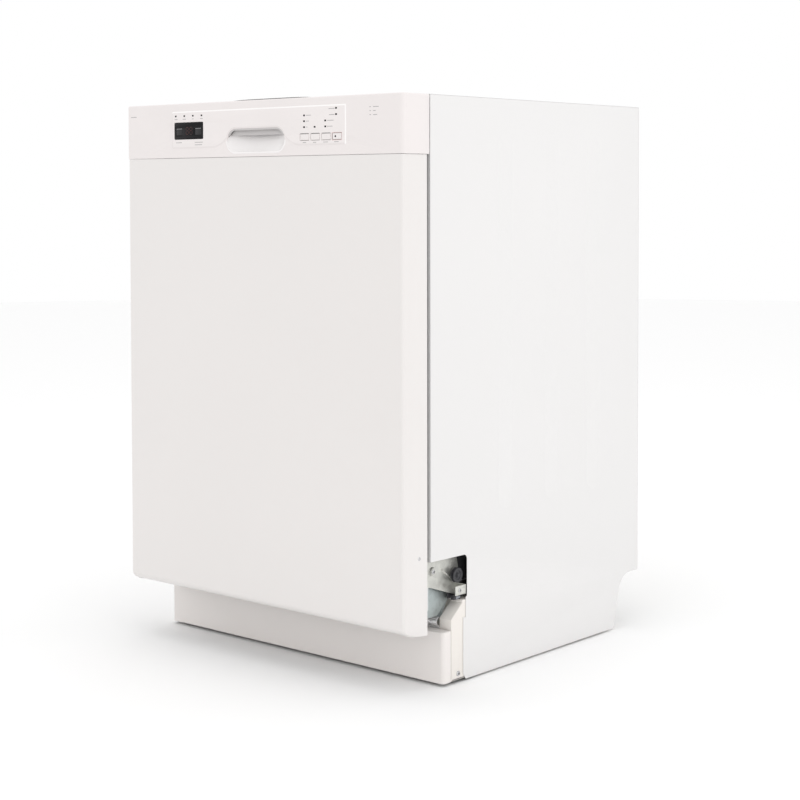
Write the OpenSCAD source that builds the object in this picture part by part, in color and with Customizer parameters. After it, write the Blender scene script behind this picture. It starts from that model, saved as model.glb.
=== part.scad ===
// Built-in dishwasher with a hinged door, two sliding racks and three spray arms.
// Millimetres. X runs to the right, Y to the back, Z up.
// The origin is on the floor, under the middle of the machine.

/* [Cabinet] */
// Width over the side panels
body_w = 597; // [595:1:600]
// Depth from the door face to the rear stand-offs
body_d = 616; // [614:1:620]
// Height of the cabinet above the floor
body_h = 870; // [868:1:900]
// Distance from the door face to the front edge of the side panels
door_depth = 60; // [59:0.5:62]
// Sheet thickness of the painted steel panels
sheet = 0.8; // [0.6:0.1:1]

/* [Door] */
// Height of the control panel above the door sheet
panel_h = 86.5; // [84:0.5:90]
// Height of the door hinge axis above the floor
hinge_z = 118; // [117:0.5:119]
// Radius of the door hinge pins
hinge_pin_r = 5; // [4:0.25:5]
// Running clearance around every pin
fit = 0.06; // [0.03:0.01:0.09]

/* [Handle] */
// Width of the handle pocket
pocket_w = 125; // [110:1:130]
// Height of the handle pocket
pocket_h = 36; // [32:1:38]
// Depth of the handle pocket
pocket_d = 36; // [25:1:40]

/* [Keys] */
// Width of a programme button
button_w = 17.8; // [14:0.1:18]
// Height of a programme button
button_h = 9.3; // [7:0.1:10]
// Distance from one programme button to the next
button_pitch = 22; // [20:0.5:23]
// Height of the programme buttons' middle
button_z = 810.8; // [808:0.1:813]

/* [Tub] */
// Inside half-width of the tub
tub_half = 268; // [266:0.5:269]
// Height of the wheel tracks
track_z = 132; // [131.5:0.1:132]
// Thickness of the tub wall
wall = 1.5; // [1:0.1:1.8]

/* [Racks] */
// Half-width of both racks
rack_half = 240; // [238:0.5:241]
// Wire thickness of both racks
wire = 4; // [3:0.5:4]
// Radius of the lower rack's wheels
wheel_r = 17.9; // [17:0.1:17.9]
// Height of the lower rack's floor
lower_floor_z = 170; // [169:0.5:172]
// Height of the upper rack's floor
upper_floor_z = 455; // [453:0.5:457]

/* [Spray arms] */
// Reach of the lower spray arm
lower_reach = 212; // [195:1:213]
// Reach of the upper spray arm
upper_reach = 200; // [180:1:205]
// Reach of the top spray arm
top_reach = 115; // [90:1:130]
// Distance of the spray axis behind the origin
spray_y = 20; // [15:1:22]

/* [Hidden] */
$fn = 48;

half_w = body_w / 2;
front_y = -body_d / 2;
back_y = body_d / 2;
side_y = front_y + door_depth;
panel_z = body_h - panel_h;
hinge_y = -262;
liner_y = -248;
flange_y = -236;

panel_out = half_w - 0.6;
side_back = 298;
corner_z = 3;

door_half = half_w - 1.5;
door_back = -254;
skin = 1;

tub_back = 262;
tub_floor = 124;
tub_top = 832;
flange_half = 279;
sump_r = 112;
float_y = -163;

post_y0 = -199;
post_y1 = -172;
post_x = 274;
rim_z = 60;
valve_x = -192;
conduit_z = 36;

plate_x = 280;
boss_y = -227;
boss_z = 172;
arm_x = 284.5;
plate_t = 3;
spring_x = 290;
spring_z = 160;

pocket_z = 809;
button_x = 104.5;
overlay_x0 = -189;
overlay_x1 = 188;
window_x0 = -184;
window_x1 = -114;
window_z0 = 812;
window_z1 = 841;
key_w = 19;
key_h = 17;
key_z = 826.5;
panel_t = 3;
panel_back = -250;

arm_pin_r = 9;
top_pin_r = 8;
rail_x0 = 249;
rail_x1 = 262.5;
rail_z0 = 505;
rail_z1 = 527;
roller_r = 9;
rack_front = -222;
rack_back = 226;
lower_wheel_y = [-128, 180];
rail_roller_y = [-190, -60];
rack_wheel_y = [70, 200];
tine_pitch = 32;
fold_y = 150;
fold_z = lower_floor_z + 9;
weld_gap = 0.05;

// ---------- helpers ----------

module box(x0, x1, y0, y1, z0, z1)
  translate([x0, y0, z0]) cube([x1 - x0, y1 - y0, z1 - z0]);

module xrod(r, x0, x1, y, z)
  translate([x0, y, z]) rotate([0, 90, 0]) cylinder(r = r, h = x1 - x0);

module yrod(r, y0, y1, x, z)
  translate([x, y0, z]) rotate([-90, 0, 0]) cylinder(r = r, h = y1 - y0);

module zrod(r, z0, z1, x, y)
  translate([x, y, z0]) cylinder(r = r, h = z1 - z0);

module both() {
  children();
  mirror([1, 0, 0]) children();
}

// Extrudes an outline drawn in (Y, Z) from x0 to x1.
module side_profile(x0, x1)
  translate([x0, 0, 0]) rotate([90, 0, 90]) linear_extrude(x1 - x0) children();

// Extrudes an outline drawn in (X, Z) from y0 to y1.
module front_profile(y0, y1)
  translate([0, y1, 0]) rotate([90, 0, 0]) linear_extrude(y1 - y0) children();

function arc(y, z, r, a0, a1, n = 8) =
  [for (i = [0:n]) [y + r * cos(a0 + (a1 - a0) * i / n), z + r * sin(a0 + (a1 - a0) * i / n)]];

// Rectangle with round corners of true arcs.
module round_rect(x0, x1, z0, z1, r) {
  translate([x0 + r, z0]) square([x1 - x0 - 2 * r, z1 - z0]);
  translate([x0, z0 + r]) square([x1 - x0, z1 - z0 - 2 * r]);
  for (x = [x0 + r, x1 - r], z = [z0 + r, z1 - r]) translate([x, z]) circle(r);
}

// ---------- cabinet ----------

module side_outline() {
  slot_y = -163;
  polygon(concat(
    [[side_y, body_h], [side_back, body_h], [side_back, 90]],
    arc(272, 60, 30, 90, 170),
    [[226, corner_z], [-166, corner_z], [post_y1, 12], [post_y1, 96], [-166, 96],
     [-166, 126], [slot_y, 127]],
    arc(slot_y - 7, 183, 7, 0, 90, 5),
    [[side_y, 191]]));
}

// Embossed stiffening rib with a round top, pressed outwards.
module rib_outline(y) {
  rib_half = 18;
  rib_z0 = 262;
  rib_z1 = 804;
  translate([y - rib_half, rib_z0]) square([2 * rib_half, rib_z1 - rib_z0]);
  for (z = [rib_z0, rib_z1]) translate([y, z]) circle(rib_half);
}

module side_panel() {
  lip = 11;
  color([0.95, 0.95, 0.94]) {
    side_profile(panel_out - sheet, panel_out) side_outline();
    for (y = [-69, 50, 163]) side_profile(panel_out - sheet, half_w) rib_outline(y);
    box(panel_out - lip, panel_out, side_y, side_y + sheet, 191, body_h);
    box(panel_out - lip, panel_out, side_back - sheet, side_back, 90, body_h);
    box(panel_out - lip, panel_out, side_y, side_back, body_h - sheet, body_h);
  }
}

module side_panel_right() side_panel();
module side_panel_left() mirror([1, 0, 0]) side_panel();

module tub() {
  ledge_x = 244;
  color([0.75, 0.76, 0.78]) difference() {
    union() {
      difference() {
        box(-tub_half - wall, tub_half + wall, flange_y, tub_back + wall,
          tub_floor - wall, tub_top + wall);
        box(-tub_half, tub_half, flange_y - 1, tub_back, tub_floor, tub_top);
      }
      difference() {
        box(-flange_half, flange_half, flange_y, flange_y + wall, 110, 846);
        box(-tub_half, tub_half, flange_y - 1, flange_y + wall + 1, tub_floor, tub_top);
      }
      both() {
        box(ledge_x, tub_half + 0.5, flange_y, tub_back + 0.5, track_z - wall, track_z);
        box(ledge_x, ledge_x + wall, flange_y, tub_back + 0.5, tub_floor - 0.5, track_z);
        for (y = rail_roller_y) xrod(3, rail_x1 - 5.3, tub_half + 0.5, y, 516);
        for (y = rail_roller_y) xrod(6, rail_x1 + 1, tub_half + 0.5, y, 516);
      }
    }
    zrod(sump_r, tub_floor - 5, tub_floor + 5, 0, spray_y);
    for (x = [-20, 20]) zrod(4.6, tub_floor - 5, tub_floor + 5, x, spray_y + 163.8);
    zrod(9.6, tub_floor - 5, tub_floor + 5, 0, 246);
    zrod(6, tub_floor - 5, tub_floor + 5, 200, float_y);
  }
}

module tub_gasket() {
  seal_out = 277;
  seal_in = 266;
  seal_top = 845;
  color([0.25, 0.25, 0.26]) difference() {
    box(-seal_out, seal_out, liner_y + 0.5, flange_y, 134, seal_top);
    box(-seal_in, seal_in, liner_y, flange_y + 1, 133, seal_top - 11);
  }
}

module cross_braces() {
  brace_t = 1.2;
  front_x = 286;
  color([0.72, 0.74, 0.75]) {
    difference() {
      union() {
        box(-front_x, front_x, side_y + 2, -200, 867.8, 869);
        box(-front_x, front_x, -201.2, -200, 848, 868);
        both() box(30, front_x, side_y + 2, side_y + 3.2, 855, 868);
        both() box(235, 265, side_y + 2, -222, 868.5, body_h);
      }
      both() zrod(2.2, 860, body_h + 1, 250, -234);
    }
    difference() {
      union() {
        box(-290, 290, side_back, side_back + brace_t, 792, 866);
        both() yrod(15, side_back, back_y, 180, 829);
      }
      both() yrod(3, side_back - 1, back_y + 1, 180, 829);
    }
    box(-290, 290, side_back, side_back + brace_t, 100, 150);
  }
}

module latch_strike() {
  bar_z = 857;
  color([0.8, 0.8, 0.82]) {
    box(-20, 20, -228, -201.2, 862, 864);
    box(-20, 20, -229.5, -228, 850, 867);
    both() yrod(2.5, -264, -229.5, 12, bar_z);
    xrod(2.5, -14.5, 14.5, -264, bar_z);
  }
}

module sound_blanket() {
  pad = 7;
  gap = 0.5;
  x1 = tub_half + wall + gap;
  y1 = tub_back + wall + gap;
  color([0.93, 0.93, 0.9]) {
    both() box(x1, x1 + pad, -224, y1 - gap, 150, tub_top + 2 - gap);
    box(-x1 - pad, x1 + pad, -224, y1 + pad, tub_top + 2, tub_top + 2 + pad);
    box(-x1 - pad, x1 + pad, y1, y1 + pad, 150, tub_top + 2 - gap);
  }
}

module base_pan() {
  rim_x = half_w - 1.8;
  pan_z0 = 5;
  pan_z1 = 8;
  rear_y = 224;
  color([0.93, 0.9, 0.84]) difference() {
    union() {
      box(-rim_x, rim_x, post_y0 + 2, rear_y, pan_z0, pan_z1);
      both() box(rim_x - 3, rim_x, post_y0 + 2, rear_y, pan_z0, rim_z);
      box(-rim_x, rim_x, rear_y - 3, rear_y, pan_z0, rim_z);
      box(-post_x, post_x, post_y0 + 2, post_y0 + 5, pan_z0, rim_z);
      both() side_profile(post_x, rim_x) polygon([[post_y0, pan_z0], [post_y0, 97],
        [post_y1 - 1, 118], [post_y1 - 1, 122.4], [-140, 122.4], [-140, pan_z0]]);
      both() for (y = [190]) box(post_x - 14, rim_x, y - 30, y, pan_z0, 122.4);
      both() for (y = [-150, 190]) zrod(16, pan_z0, 24, 240, y);
    }
    both() for (y = [-150, 190]) zrod(5.5, pan_z0 - 1, 200, 240, y);
    yrod(18, rear_y - 10, rear_y + 10, valve_x, 45);
    yrod(14, rear_y - 10, rear_y + 10, 215, 45);
    yrod(16, rear_y - 10, rear_y + 10, 101, conduit_z);
    both() side_profile(post_x + 3, rim_x - 3) polygon([[post_y0 + 3, pan_z1],
      [post_y0 + 3, 96], [post_y1 + 2, 116.5], [post_y1 + 2, 119], [-143, 119], [-143, pan_z1]]);
  }
}

module kickplate() {
  kick_y = -218;
  kick_z1 = 84;
  kick_z0 = 4.5;
  x1 = half_w - 1.5;
  t = 1.2;
  r = 6;
  color([0.86, 0.86, 0.85]) {
    translate([0, 0, kick_z0]) linear_extrude(kick_z1 - kick_z0) difference() {
      union() {
        translate([-x1 + r, kick_y]) square([2 * x1 - 2 * r, r * 2]);
        translate([-x1, kick_y + r]) square([2 * x1, -200.5 - kick_y - r]);
        both() translate([x1 - r, kick_y + r]) circle(r);
      }
      translate([-x1 + r, kick_y + t]) square([2 * x1 - 2 * r, 60]);
      translate([-x1 + t, kick_y + r]) square([2 * x1 - 2 * t, 60]);
      both() translate([x1 - r, kick_y + r]) circle(r - t);
    }
    box(-x1 + 3, x1 - 3, kick_y + t - 0.2, -207, kick_z1 - t, kick_z1);
  }
}

// Galvanised beam between the corner posts: a rolled lip under a sloping plate.
module front_cross_member() {
  lip_r = 7;
  lip_y = -197.5;
  lip_z = 91;
  x1 = post_x - 1;
  color([0.6, 0.64, 0.68]) {
    difference() {
      xrod(lip_r, -x1, x1, lip_y, lip_z);
      xrod(lip_r - 1.2, -x1 - 1, x1 + 1, lip_y, lip_z);
    }
    side_profile(-x1, x1) polygon([[lip_y + 1, lip_z + lip_r - 1], [lip_y + 2.4, lip_z + lip_r - 1],
      [-178.6, 122.4], [-180, 122.4]]);
    box(-x1, x1, lip_y - 1, lip_y + 0.4, rim_z, lip_z - lip_r + 0.6);
  }
}

module hinge_plate_outline() {
  difference() {
    union() {
      polygon([[-274, 112], [-274, 184], [-266, 190], [-170, 190], [-163, 160],
        [-163, 128], [-170, 128], [-232, 149], [-244, 149], [-247, 112]]);
      translate([hinge_y, hinge_z]) circle(12);
    }
    translate([hinge_y, hinge_z]) circle(hinge_pin_r);
  }
}

module hinge_plates() {
  color([0.78, 0.8, 0.81]) both() {
    side_profile(plate_x, plate_x + plate_t) hinge_plate_outline();
    xrod(7, plate_x + plate_t, plate_x + plate_t + 3, boss_y, boss_z);
    box(plate_x, half_w - 1.6, -165.2, -164, 131, 145);
    box(half_w - 2.8, half_w - 1.6, -189, -164, 131, 145);
    xrod(3, plate_x + plate_t, spring_x + 4.5, -178, spring_z);
    xrod(4.5, plate_x + plate_t, spring_x - 3.3, -178, spring_z);
  }
}

module hinge_pins() {
  color([0.7, 0.7, 0.72]) both() {
    xrod(hinge_pin_r, plate_x, arm_x + plate_t + 0.3, hinge_y, hinge_z);
    xrod(hinge_pin_r + 2.5, arm_x + plate_t + 0.3, arm_x + plate_t + 2.3, hinge_y, hinge_z);
  }
}

module door_springs() {
  coil_r = 5;
  anchor_y = 60;
  color([0.5, 0.51, 0.53]) both() {
    difference() {
      yrod(coil_r, -120, 40, spring_x, spring_z - 9.5);
      yrod(coil_r - 1.5, -118, 38, spring_x, spring_z - 9.5);
    }
    yrod(1, -176, -120, spring_x, spring_z - 9.5);
    yrod(1, 40, anchor_y, spring_x, spring_z - 9.5);
  }
}

module cable_pulleys() {
  pulley_r = 8;
  color([0.12, 0.12, 0.13]) both() difference() {
    union() {
      xrod(pulley_r, spring_x - 3, spring_x + 3, -178, spring_z);
      for (x = [spring_x - 3, spring_x + 1.5])
        xrod(pulley_r + 3, x, x + 1.5, -178, spring_z);
    }
    xrod(3 + fit, spring_x - 4, spring_x + 4, -178, spring_z);
  }
}

module junction_box() {
  t = 1.5;
  x0 = 60;
  x1 = 142;
  z0 = 8;
  z1 = 62;
  conduit_r = 11.1;
  color([0.16, 0.16, 0.17]) difference() {
    box(x0, x1, -192, -112, z0, z1);
    box(x0 + t, x1 - t, -192 + t, -112 - t, z0 + t, z1 - t);
    yrod(conduit_r, -120, -100, (x0 + x1) / 2, conduit_z);
  }
}

module inlet_valve() {
  color([0.93, 0.93, 0.91]) {
    box(valve_x - 28, valve_x + 28, 150, 200, 20, 72);
    for (x = [valve_x - 14, valve_x + 14]) zrod(13, 72, 96, x, 175);
    box(valve_x - 22, valve_x + 22, 152, 198, 8, 20);
    difference() {
      yrod(13.2, 200, 244, valve_x, 45);
      yrod(8, 206, 245, valve_x, 45);
    }
  }
}

module drain_pump() {
  color([0.2, 0.2, 0.21]) {
    yrod(26, 90, 132, 200, 45);
    yrod(22, 132, 176, 200, 45);
    box(180, 220, 100, 160, 8, 25);
    difference() {
      yrod(9.5, 176, 246, 215, 45);
      yrod(7, 180, 247, 215, 45);
    }
    xrod(11, 128, 180, 112, 50);
  }
}

module wash_pump() {
  axis_z = 48;
  color([0.3, 0.31, 0.33]) {
    xrod(32, -190, -80, 90, axis_z);
    xrod(34, -80, -66, 90, axis_z);
    box(-180, -90, 70, 110, 8, 20);
    xrod(12, -66, -48, 90, axis_z + 12);
  }
}

module sump() {
  bowl = [[107.5, 122.3], [111, 122.3], [111, 92], [62, 84], [62, 60], [0, 60], [0, 63],
    [59, 63], [59, 86.5], [107.5, 95]];
  color([0.86, 0.86, 0.84]) {
    translate([0, spray_y, 0]) rotate_extrude() polygon(bowl);
    zrod(14, 62, 146, 0, spray_y);
    zrod(arm_pin_r, 145, 159, 0, spray_y);
  }
}

module filter_plate() {
  color([0.78, 0.79, 0.81]) difference() {
    zrod(118, tub_floor, tub_floor + 2, 0, spray_y);
    zrod(14.5, tub_floor - 1, tub_floor + 3, 0, spray_y);
    zrod(37, tub_floor - 1, tub_floor + 3, 0, spray_y - 66);
  }
}

module fine_filter() {
  fy = spray_y - 66;
  color([0.55, 0.57, 0.6]) {
    difference() {
      zrod(34, 99, 129, 0, fy);
      zrod(32.5, 101, 130, 0, fy);
    }
    difference() {
      zrod(42, 126.3, 129, 0, fy);
      zrod(32.5, 126, 130, 0, fy);
    }
    box(-33.5, 33.5, fy - 2, fy + 2, 122, 142);
  }
}

module heater() {
  ring_r = 165;
  leg_x = 20;
  color([0.5, 0.48, 0.46]) {
    translate([0, spray_y, 137]) rotate_extrude() translate([ring_r, 0]) circle(4);
    for (x = [-leg_x, leg_x]) zrod(3, 96, 137, x, spray_y + 163.8);
    for (a = [200, 270, 340]) translate([ring_r * cos(a), spray_y + ring_r * sin(a), 0])
      box(-2.5, 2.5, -2.5, 2.5, tub_floor, 135);
  }
}

module water_column() {
  column_y = 246;
  pipe_z = 820;
  dock_z = upper_floor_z - 19;
  dock_half = 14;
  color([0.86, 0.86, 0.84]) {
    zrod(9, 100, pipe_z - 9, 0, column_y);
    box(-11, 11, column_y - 11, column_y + 11, pipe_z - 10, pipe_z + 11);
    yrod(8, spray_y + 15, column_y - 10, 0, pipe_z);
    box(-16, 16, spray_y - 16, spray_y + 16, pipe_z - 9, tub_top);
    zrod(top_pin_r, 798, pipe_z - 8, 0, spray_y);
    difference() {
      box(-dock_half, dock_half, 232, column_y + 12, dock_z - dock_half, dock_z + dock_half);
      yrod(6, 231, 235, 0, dock_z);
    }
  }
}

module cabinet_screws() {
  head = 4;
  color([0.72, 0.72, 0.74]) both() {
    xrod(head, half_w - 1.6, half_w - 0.2, -179, 138);
    xrod(head, half_w - 1.8, half_w - 0.4, -183, 14);
    xrod(4.5, plate_x + plate_t + 3, plate_x + plate_t + 5, boss_y, boss_z);
    for (z = [806, 852]) yrod(head, side_back + 1.2, side_back + 3, 280, z);
    yrod(head, side_back + 1.2, side_back + 3, 280, 125);
  }
}

module float() {
  fx = 200;
  color([0.85, 0.86, 0.88]) {
    zrod(19, tub_floor + 0.3, 154, fx, float_y);
    zrod(4.5, 106, 125, fx, float_y);
  }
}

// ---------- feet ----------

module foot(x, y) {
  color([0.15, 0.15, 0.16]) {
    zrod(18, 0, 4, x, y);
    zrod(5.4, 3, 60, x, y);
  }
}

module front_foot_left() foot(-240, -150);
module front_foot_right() foot(240, -150);
module rear_feet() both() foot(240, 190);

// ---------- spray arms ----------

module spray_arm(reach, width, z0, z1, pin_r, hub_r, hub_z0, hub_z1, bore_z0, bore_z1) {
  difference() {
    union() {
      translate([0, spray_y, z0]) linear_extrude(z1 - z0) union() {
        polygon([[-reach + width / 3, -width / 3], [0, -width / 2], [reach - width / 3, -width / 3],
          [reach - width / 3, width / 3], [0, width / 2], [-reach + width / 3, width / 3]]);
        both() translate([reach - width / 3, 0]) circle(width / 3);
      }
      zrod(hub_r, hub_z0, hub_z1, 0, spray_y);
    }
    zrod(pin_r + fit, bore_z0, bore_z1, 0, spray_y);
  }
}

module lower_spray_arm()
  color([0.6, 0.62, 0.65])
    spray_arm(lower_reach, 40, 150, 161, arm_pin_r, 18, 146.5, 165, 146, 160);

module upper_spray_arm()
  color([0.6, 0.62, 0.65])
    spray_arm(upper_reach, 36, upper_floor_z - 44, upper_floor_z - 35, arm_pin_r, 16,
      upper_floor_z - 45, upper_floor_z - 28, upper_floor_z - 42, upper_floor_z - 27);

module top_spray_arm()
  color([0.6, 0.62, 0.65])
    spray_arm(top_reach, 30, 799, 806, top_pin_r, 14, 794, 810.5, 797, 811);

// ---------- upper rack and rails ----------

module upper_rails() {
  t = 1.5;
  mid = 255;
  color([0.78, 0.79, 0.81]) both() {
    box(mid, mid + t, -230, 224, rail_z0, rail_z1);
    box(rail_x0, rail_x1, -230, 224, rail_z0, rail_z0 + t);
    box(rail_x0, rail_x1, -230, 224, rail_z1 - t, rail_z1);
  }
}

module rail_rollers() {
  color([0.9, 0.9, 0.9]) both() difference() {
    xrod(roller_r, 257, 262, rail_roller_y[0], 516);
    xrod(3 + fit, 256, 263, rail_roller_y[0], 516);
  }
}

module upper_rack_wheels() {
  color([0.45, 0.47, 0.5]) both() difference() {
    xrod(roller_r, 249.5, 254.4, rack_wheel_y[1], 516);
    xrod(3 + fit, 249, 255, rack_wheel_y[1], 516);
  }
}

// A flat grid of wires lying in the floor plane, as one solid.
module floor_grid(z) {
  for (x = [-rack_half:tine_pitch:rack_half])
    box(x - wire / 2, x + wire / 2, rack_front, rack_back, z, z + wire);
  for (y = [rack_front, -150, -70, 10, 90, 170, rack_back - wire])
    box(-rack_half - wire / 2, rack_half + wire / 2, y, y + wire, z, z + wire);
}

// A wall of upright wires between two long wires, along Y at x.
module side_wall_wires(x, z0, z1) {
  for (z = [z0, z1 - wire]) box(x - wire / 2, x + wire / 2, rack_front, rack_back, z, z + wire);
  for (y = [rack_front:56:rack_back]) box(x - wire / 2, x + wire / 2, y, y + wire, z0, z1);
}

// The same wall across the rack, along X at y.
module end_wall_wires(y, z0, z1) {
  x1 = rack_half - wire / 2 - weld_gap;
  for (z = [z0, z1 - wire]) box(-x1, x1, y, y + wire, z, z + wire);
  for (x = [-224:tine_pitch:224]) box(x - wire / 2, x + wire / 2, y, y + wire, z0, z1);
}

// A row of upright tines on one wire across the rack.
module tine_row(x0, x1, y, z0, z1) {
  box(x0, x1, y, y + wire, z0, z0 + wire);
  for (x = [x0:tine_pitch:x1 - wire]) box(x, x + wire, y, y + wire, z0, z1);
}

module upper_rack() {
  z0 = upper_floor_z;
  z1 = z0 + 110;
  weld_z = z0 + wire + weld_gap;
  pipe_z = z0 - 19;
  color([0.7, 0.72, 0.75]) {
    floor_grid(z0);
    both() side_wall_wires(rack_half, weld_z, z1);
    for (y = [rack_front, rack_back - wire]) end_wall_wires(y, weld_z, z1);
    for (y = [-90, 30]) tine_row(-130, 130, y, weld_z, z0 + 60);
    both() for (y = [-195, 1]) difference() {
      box(rack_half - 12, rack_half - 2 - weld_gap, y, y + 4, z0 + 86, z0 + 98);
      yrod(2 + fit, y - 1, y + 5, rack_half - 8, z0 + 92);
    }
    both() {
      box(rack_half + 2, rack_half + 5, rack_wheel_y[0] - 12, rack_wheel_y[1] + 12, 506, 526);
      xrod(3, rack_half + 4, 254.6, rack_wheel_y[1], 516);
      box(rack_half + 4, 254.4, rack_wheel_y[0] - 9, rack_wheel_y[0] + 9, 507, 525);
    }
  }
  color([0.86, 0.86, 0.84]) {
    difference() {
      yrod(8, spray_y, 230.5, 0, pipe_z);
      yrod(5, 180, 231, 0, pipe_z);
    }
    zrod(15, pipe_z - 8.5, z0 - weld_gap, 0, spray_y);
    zrod(arm_pin_r, z0 - 41, pipe_z - 8, 0, spray_y);
  }
}

module cup_shelf() {
  hinge_x = rack_half - 8;
  hinge_h = upper_floor_z + 92;
  depth = 90;
  color([0.7, 0.72, 0.75]) {
    yrod(2, -196, 6, hinge_x, hinge_h);
    for (y = [-188:31:0]) box(hinge_x - depth, hinge_x, y - 1.5, y + 1.5, hinge_h - 1.5, hinge_h + 1.5);
    box(hinge_x - depth, hinge_x - depth + 3, -190, 0, hinge_h - 1.5, hinge_h + 1.5);
    box(hinge_x - depth / 2, hinge_x - depth / 2 + 3, -190, 0, hinge_h - 1.5, hinge_h + 1.5);
  }
}

// ---------- lower rack ----------

module lower_rack() {
  z0 = lower_floor_z;
  z1 = z0 + 130;
  weld_z = z0 + wire + weld_gap;
  color([0.7, 0.72, 0.75]) {
    floor_grid(z0);
    both() side_wall_wires(rack_half, weld_z, z1);
    for (y = [rack_front, rack_back - wire]) end_wall_wires(y, weld_z, z1);
    for (y = [-90, 30]) tine_row(-222, -26, y, weld_z, z0 + 90);
    tine_row(26, 222, -90, weld_z, z0 + 90);
    tine_row(-222, -26, 150, weld_z, z0 + 90);
    both() for (y = lower_wheel_y) {
      box(rack_half + 2 + weld_gap, rack_half + 5, y - 14, y + 14, 140, 190);
      xrod(4, rack_half + 4, 262, y, track_z + wheel_r + 0.1);
    }
    for (x = [18, 223]) difference() {
      box(x, x + 4, fold_y - 5, fold_y + 5, z0 + wire + weld_gap, fold_z + 5);
      xrod(2 + fit, x - 1, x + 5, fold_y, fold_z);
    }
  }
}

module lower_wheels(y) {
  color([0.45, 0.47, 0.5]) both() difference() {
    xrod(wheel_r, rack_half + 7, 260, y, track_z + wheel_r + 0.1);
    xrod(4 + fit, rack_half + 6, 261, y, track_z + wheel_r + 0.1);
  }
}

module lower_wheels_front() lower_wheels(lower_wheel_y[0]);
module lower_wheels_rear() lower_wheels(lower_wheel_y[1]);

module fold_tines() {
  color([0.55, 0.6, 0.68]) {
    xrod(2, 17, 228, fold_y, fold_z);
    for (x = [26:tine_pitch:218]) box(x, x + 4, fold_y - 2, fold_y + 2, fold_z, fold_z + 82);
  }
}

module cutlery_basket() {
  x1 = 100;
  y0 = -208;
  y1 = -138;
  z0 = lower_floor_z + wire + 0.3;
  z1 = z0 + 120;
  t = 2;
  color([0.5, 0.52, 0.55]) {
    difference() {
      box(-x1, x1, y0, y1, z0, z1);
      for (i = [-1:1]) box(i * 66 - 31.5, i * 66 + 31.5, y0 + t, y1 - t, z0 + t, z1 + 1);
    }
    both() box(31.5, 34.5, -175, -171, z1 - 1, z1 + 20);
    box(-34.5, 34.5, -175, -171, z1 + 14, z1 + 20);
  }
}

// ---------- door ----------

module door_side_outline() {
  polygon(concat(
    [[front_y + 0.8, panel_z - 0.4]],
    arc(front_y + 12.8, 105, 12, 180, 245, 5),
    [[-283, 88], [-262, 85.5]],
    arc(door_back - 5, 90.5, 5, 260, 360, 4),
    [[door_back, panel_z - 0.4]]));
}

module door_outer_panel() {
  notch_x0 = 276.5;
  notch_x1 = 292.5;
  color([0.95, 0.95, 0.94]) difference() {
    side_profile(-door_half, door_half) door_side_outline();
    side_profile(-door_half + skin, door_half - skin) polygon(concat(
      [[front_y + 1.8, panel_z + 1]],
      arc(front_y + 12.8, 105, 11, 180, 245, 5),
      [[-282.6, 89.1], [-262, 86.6], [door_back + 1, 86.6], [door_back + 1, panel_z + 1]]));
    both() box(notch_x0, notch_x1, -296, -240, 80, 100);
    box(-notch_x0, notch_x0, -281, -240, 80, 100);
  }
}

module door_liner() {
  x1 = 276;
  z0 = 97;
  z1 = 842;
  t = 1;
  rim = 20;
  cut_x0 = -85;
  cut_x1 = 85;
  cut_z0 = 345;
  cut_z1 = 485;
  dish_x = 238;
  color([0.75, 0.76, 0.78]) difference() {
    union() {
      box(-x1, x1, liner_y - rim, liner_y, z0, z1);
    }
    box(-x1 + t, x1 - t, liner_y - rim - 1, liner_y - 5, z0 + t, z1 - t);
    box(-x1 + t, -dish_x - t, liner_y - 10, liner_y - t, z0 + t, z1 - t);
    box(dish_x + t, x1 - t, liner_y - 10, liner_y - t, z0 + t, z1 - t);
    box(-x1 + t, x1 - t, liner_y - 10, liner_y - t, z0 + t, 159);
    box(-x1 + t, x1 - t, liner_y - 10, liner_y - t, 781, z1 - t);
    box(-dish_x, dish_x, liner_y - 4, liner_y + 1, 160, 780);
    box(cut_x0, cut_x1, -300, -200, cut_z0, cut_z1);
    box(-24, 24, -275, -240, 832, 850);
  }
}

module stadium(w, h) {
  square([w - h, h], center = true);
  for (x = [-(w - h) / 2, (w - h) / 2]) translate([x, 0]) circle(h / 2);
}

module control_panel() {
  face_y = front_y + 0.6;
  r = 8;
  x1 = half_w - 0.3;
  color([0.94, 0.94, 0.93]) difference() {
    union() {
      translate([0, 0, panel_z]) linear_extrude(panel_h) difference() {
        union() {
          translate([-x1 + r, face_y]) square([2 * (x1 - r), 20]);
          translate([-x1, face_y + r]) square([2 * x1, panel_back - face_y - r]);
          both() translate([x1 - r, face_y + r]) circle(r);
        }
        translate([-x1 + r, face_y + panel_t]) square([2 * (x1 - r), 100]);
        translate([-x1 + panel_t, face_y + r]) square([2 * (x1 - panel_t), 100]);
        both() translate([x1 - r, face_y + r]) circle(r - panel_t);
      }
      box(-x1 + 2, x1 - 2, face_y + 2, panel_back, body_h - panel_t, body_h);
      front_profile(front_y + 0.2, face_y + 1) difference() {
        round_rect(overlay_x0, overlay_x1, 799, 858.5, 3);
        difference() {
          translate([-97, 790]) square([194, 22]);
          for (x = [-97, 97]) translate([x, 847.4]) circle(48.4);
        }
      }
    }
    front_profile(face_y - 5, face_y + 10) {
      translate([0, pocket_z]) stadium(pocket_w, pocket_h);
      translate([window_x0, window_z0]) square([window_x1 - window_x0, window_z1 - window_z0]);
      for (i = [0:3]) translate([button_x + i * button_pitch, button_z])
        square([button_w + 0.6, button_h + 0.6], center = true);
    }
    both() for (x = [150, 262]) zrod(2.6, body_h - 2, body_h + 1, x, -279);
  }
}

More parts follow.
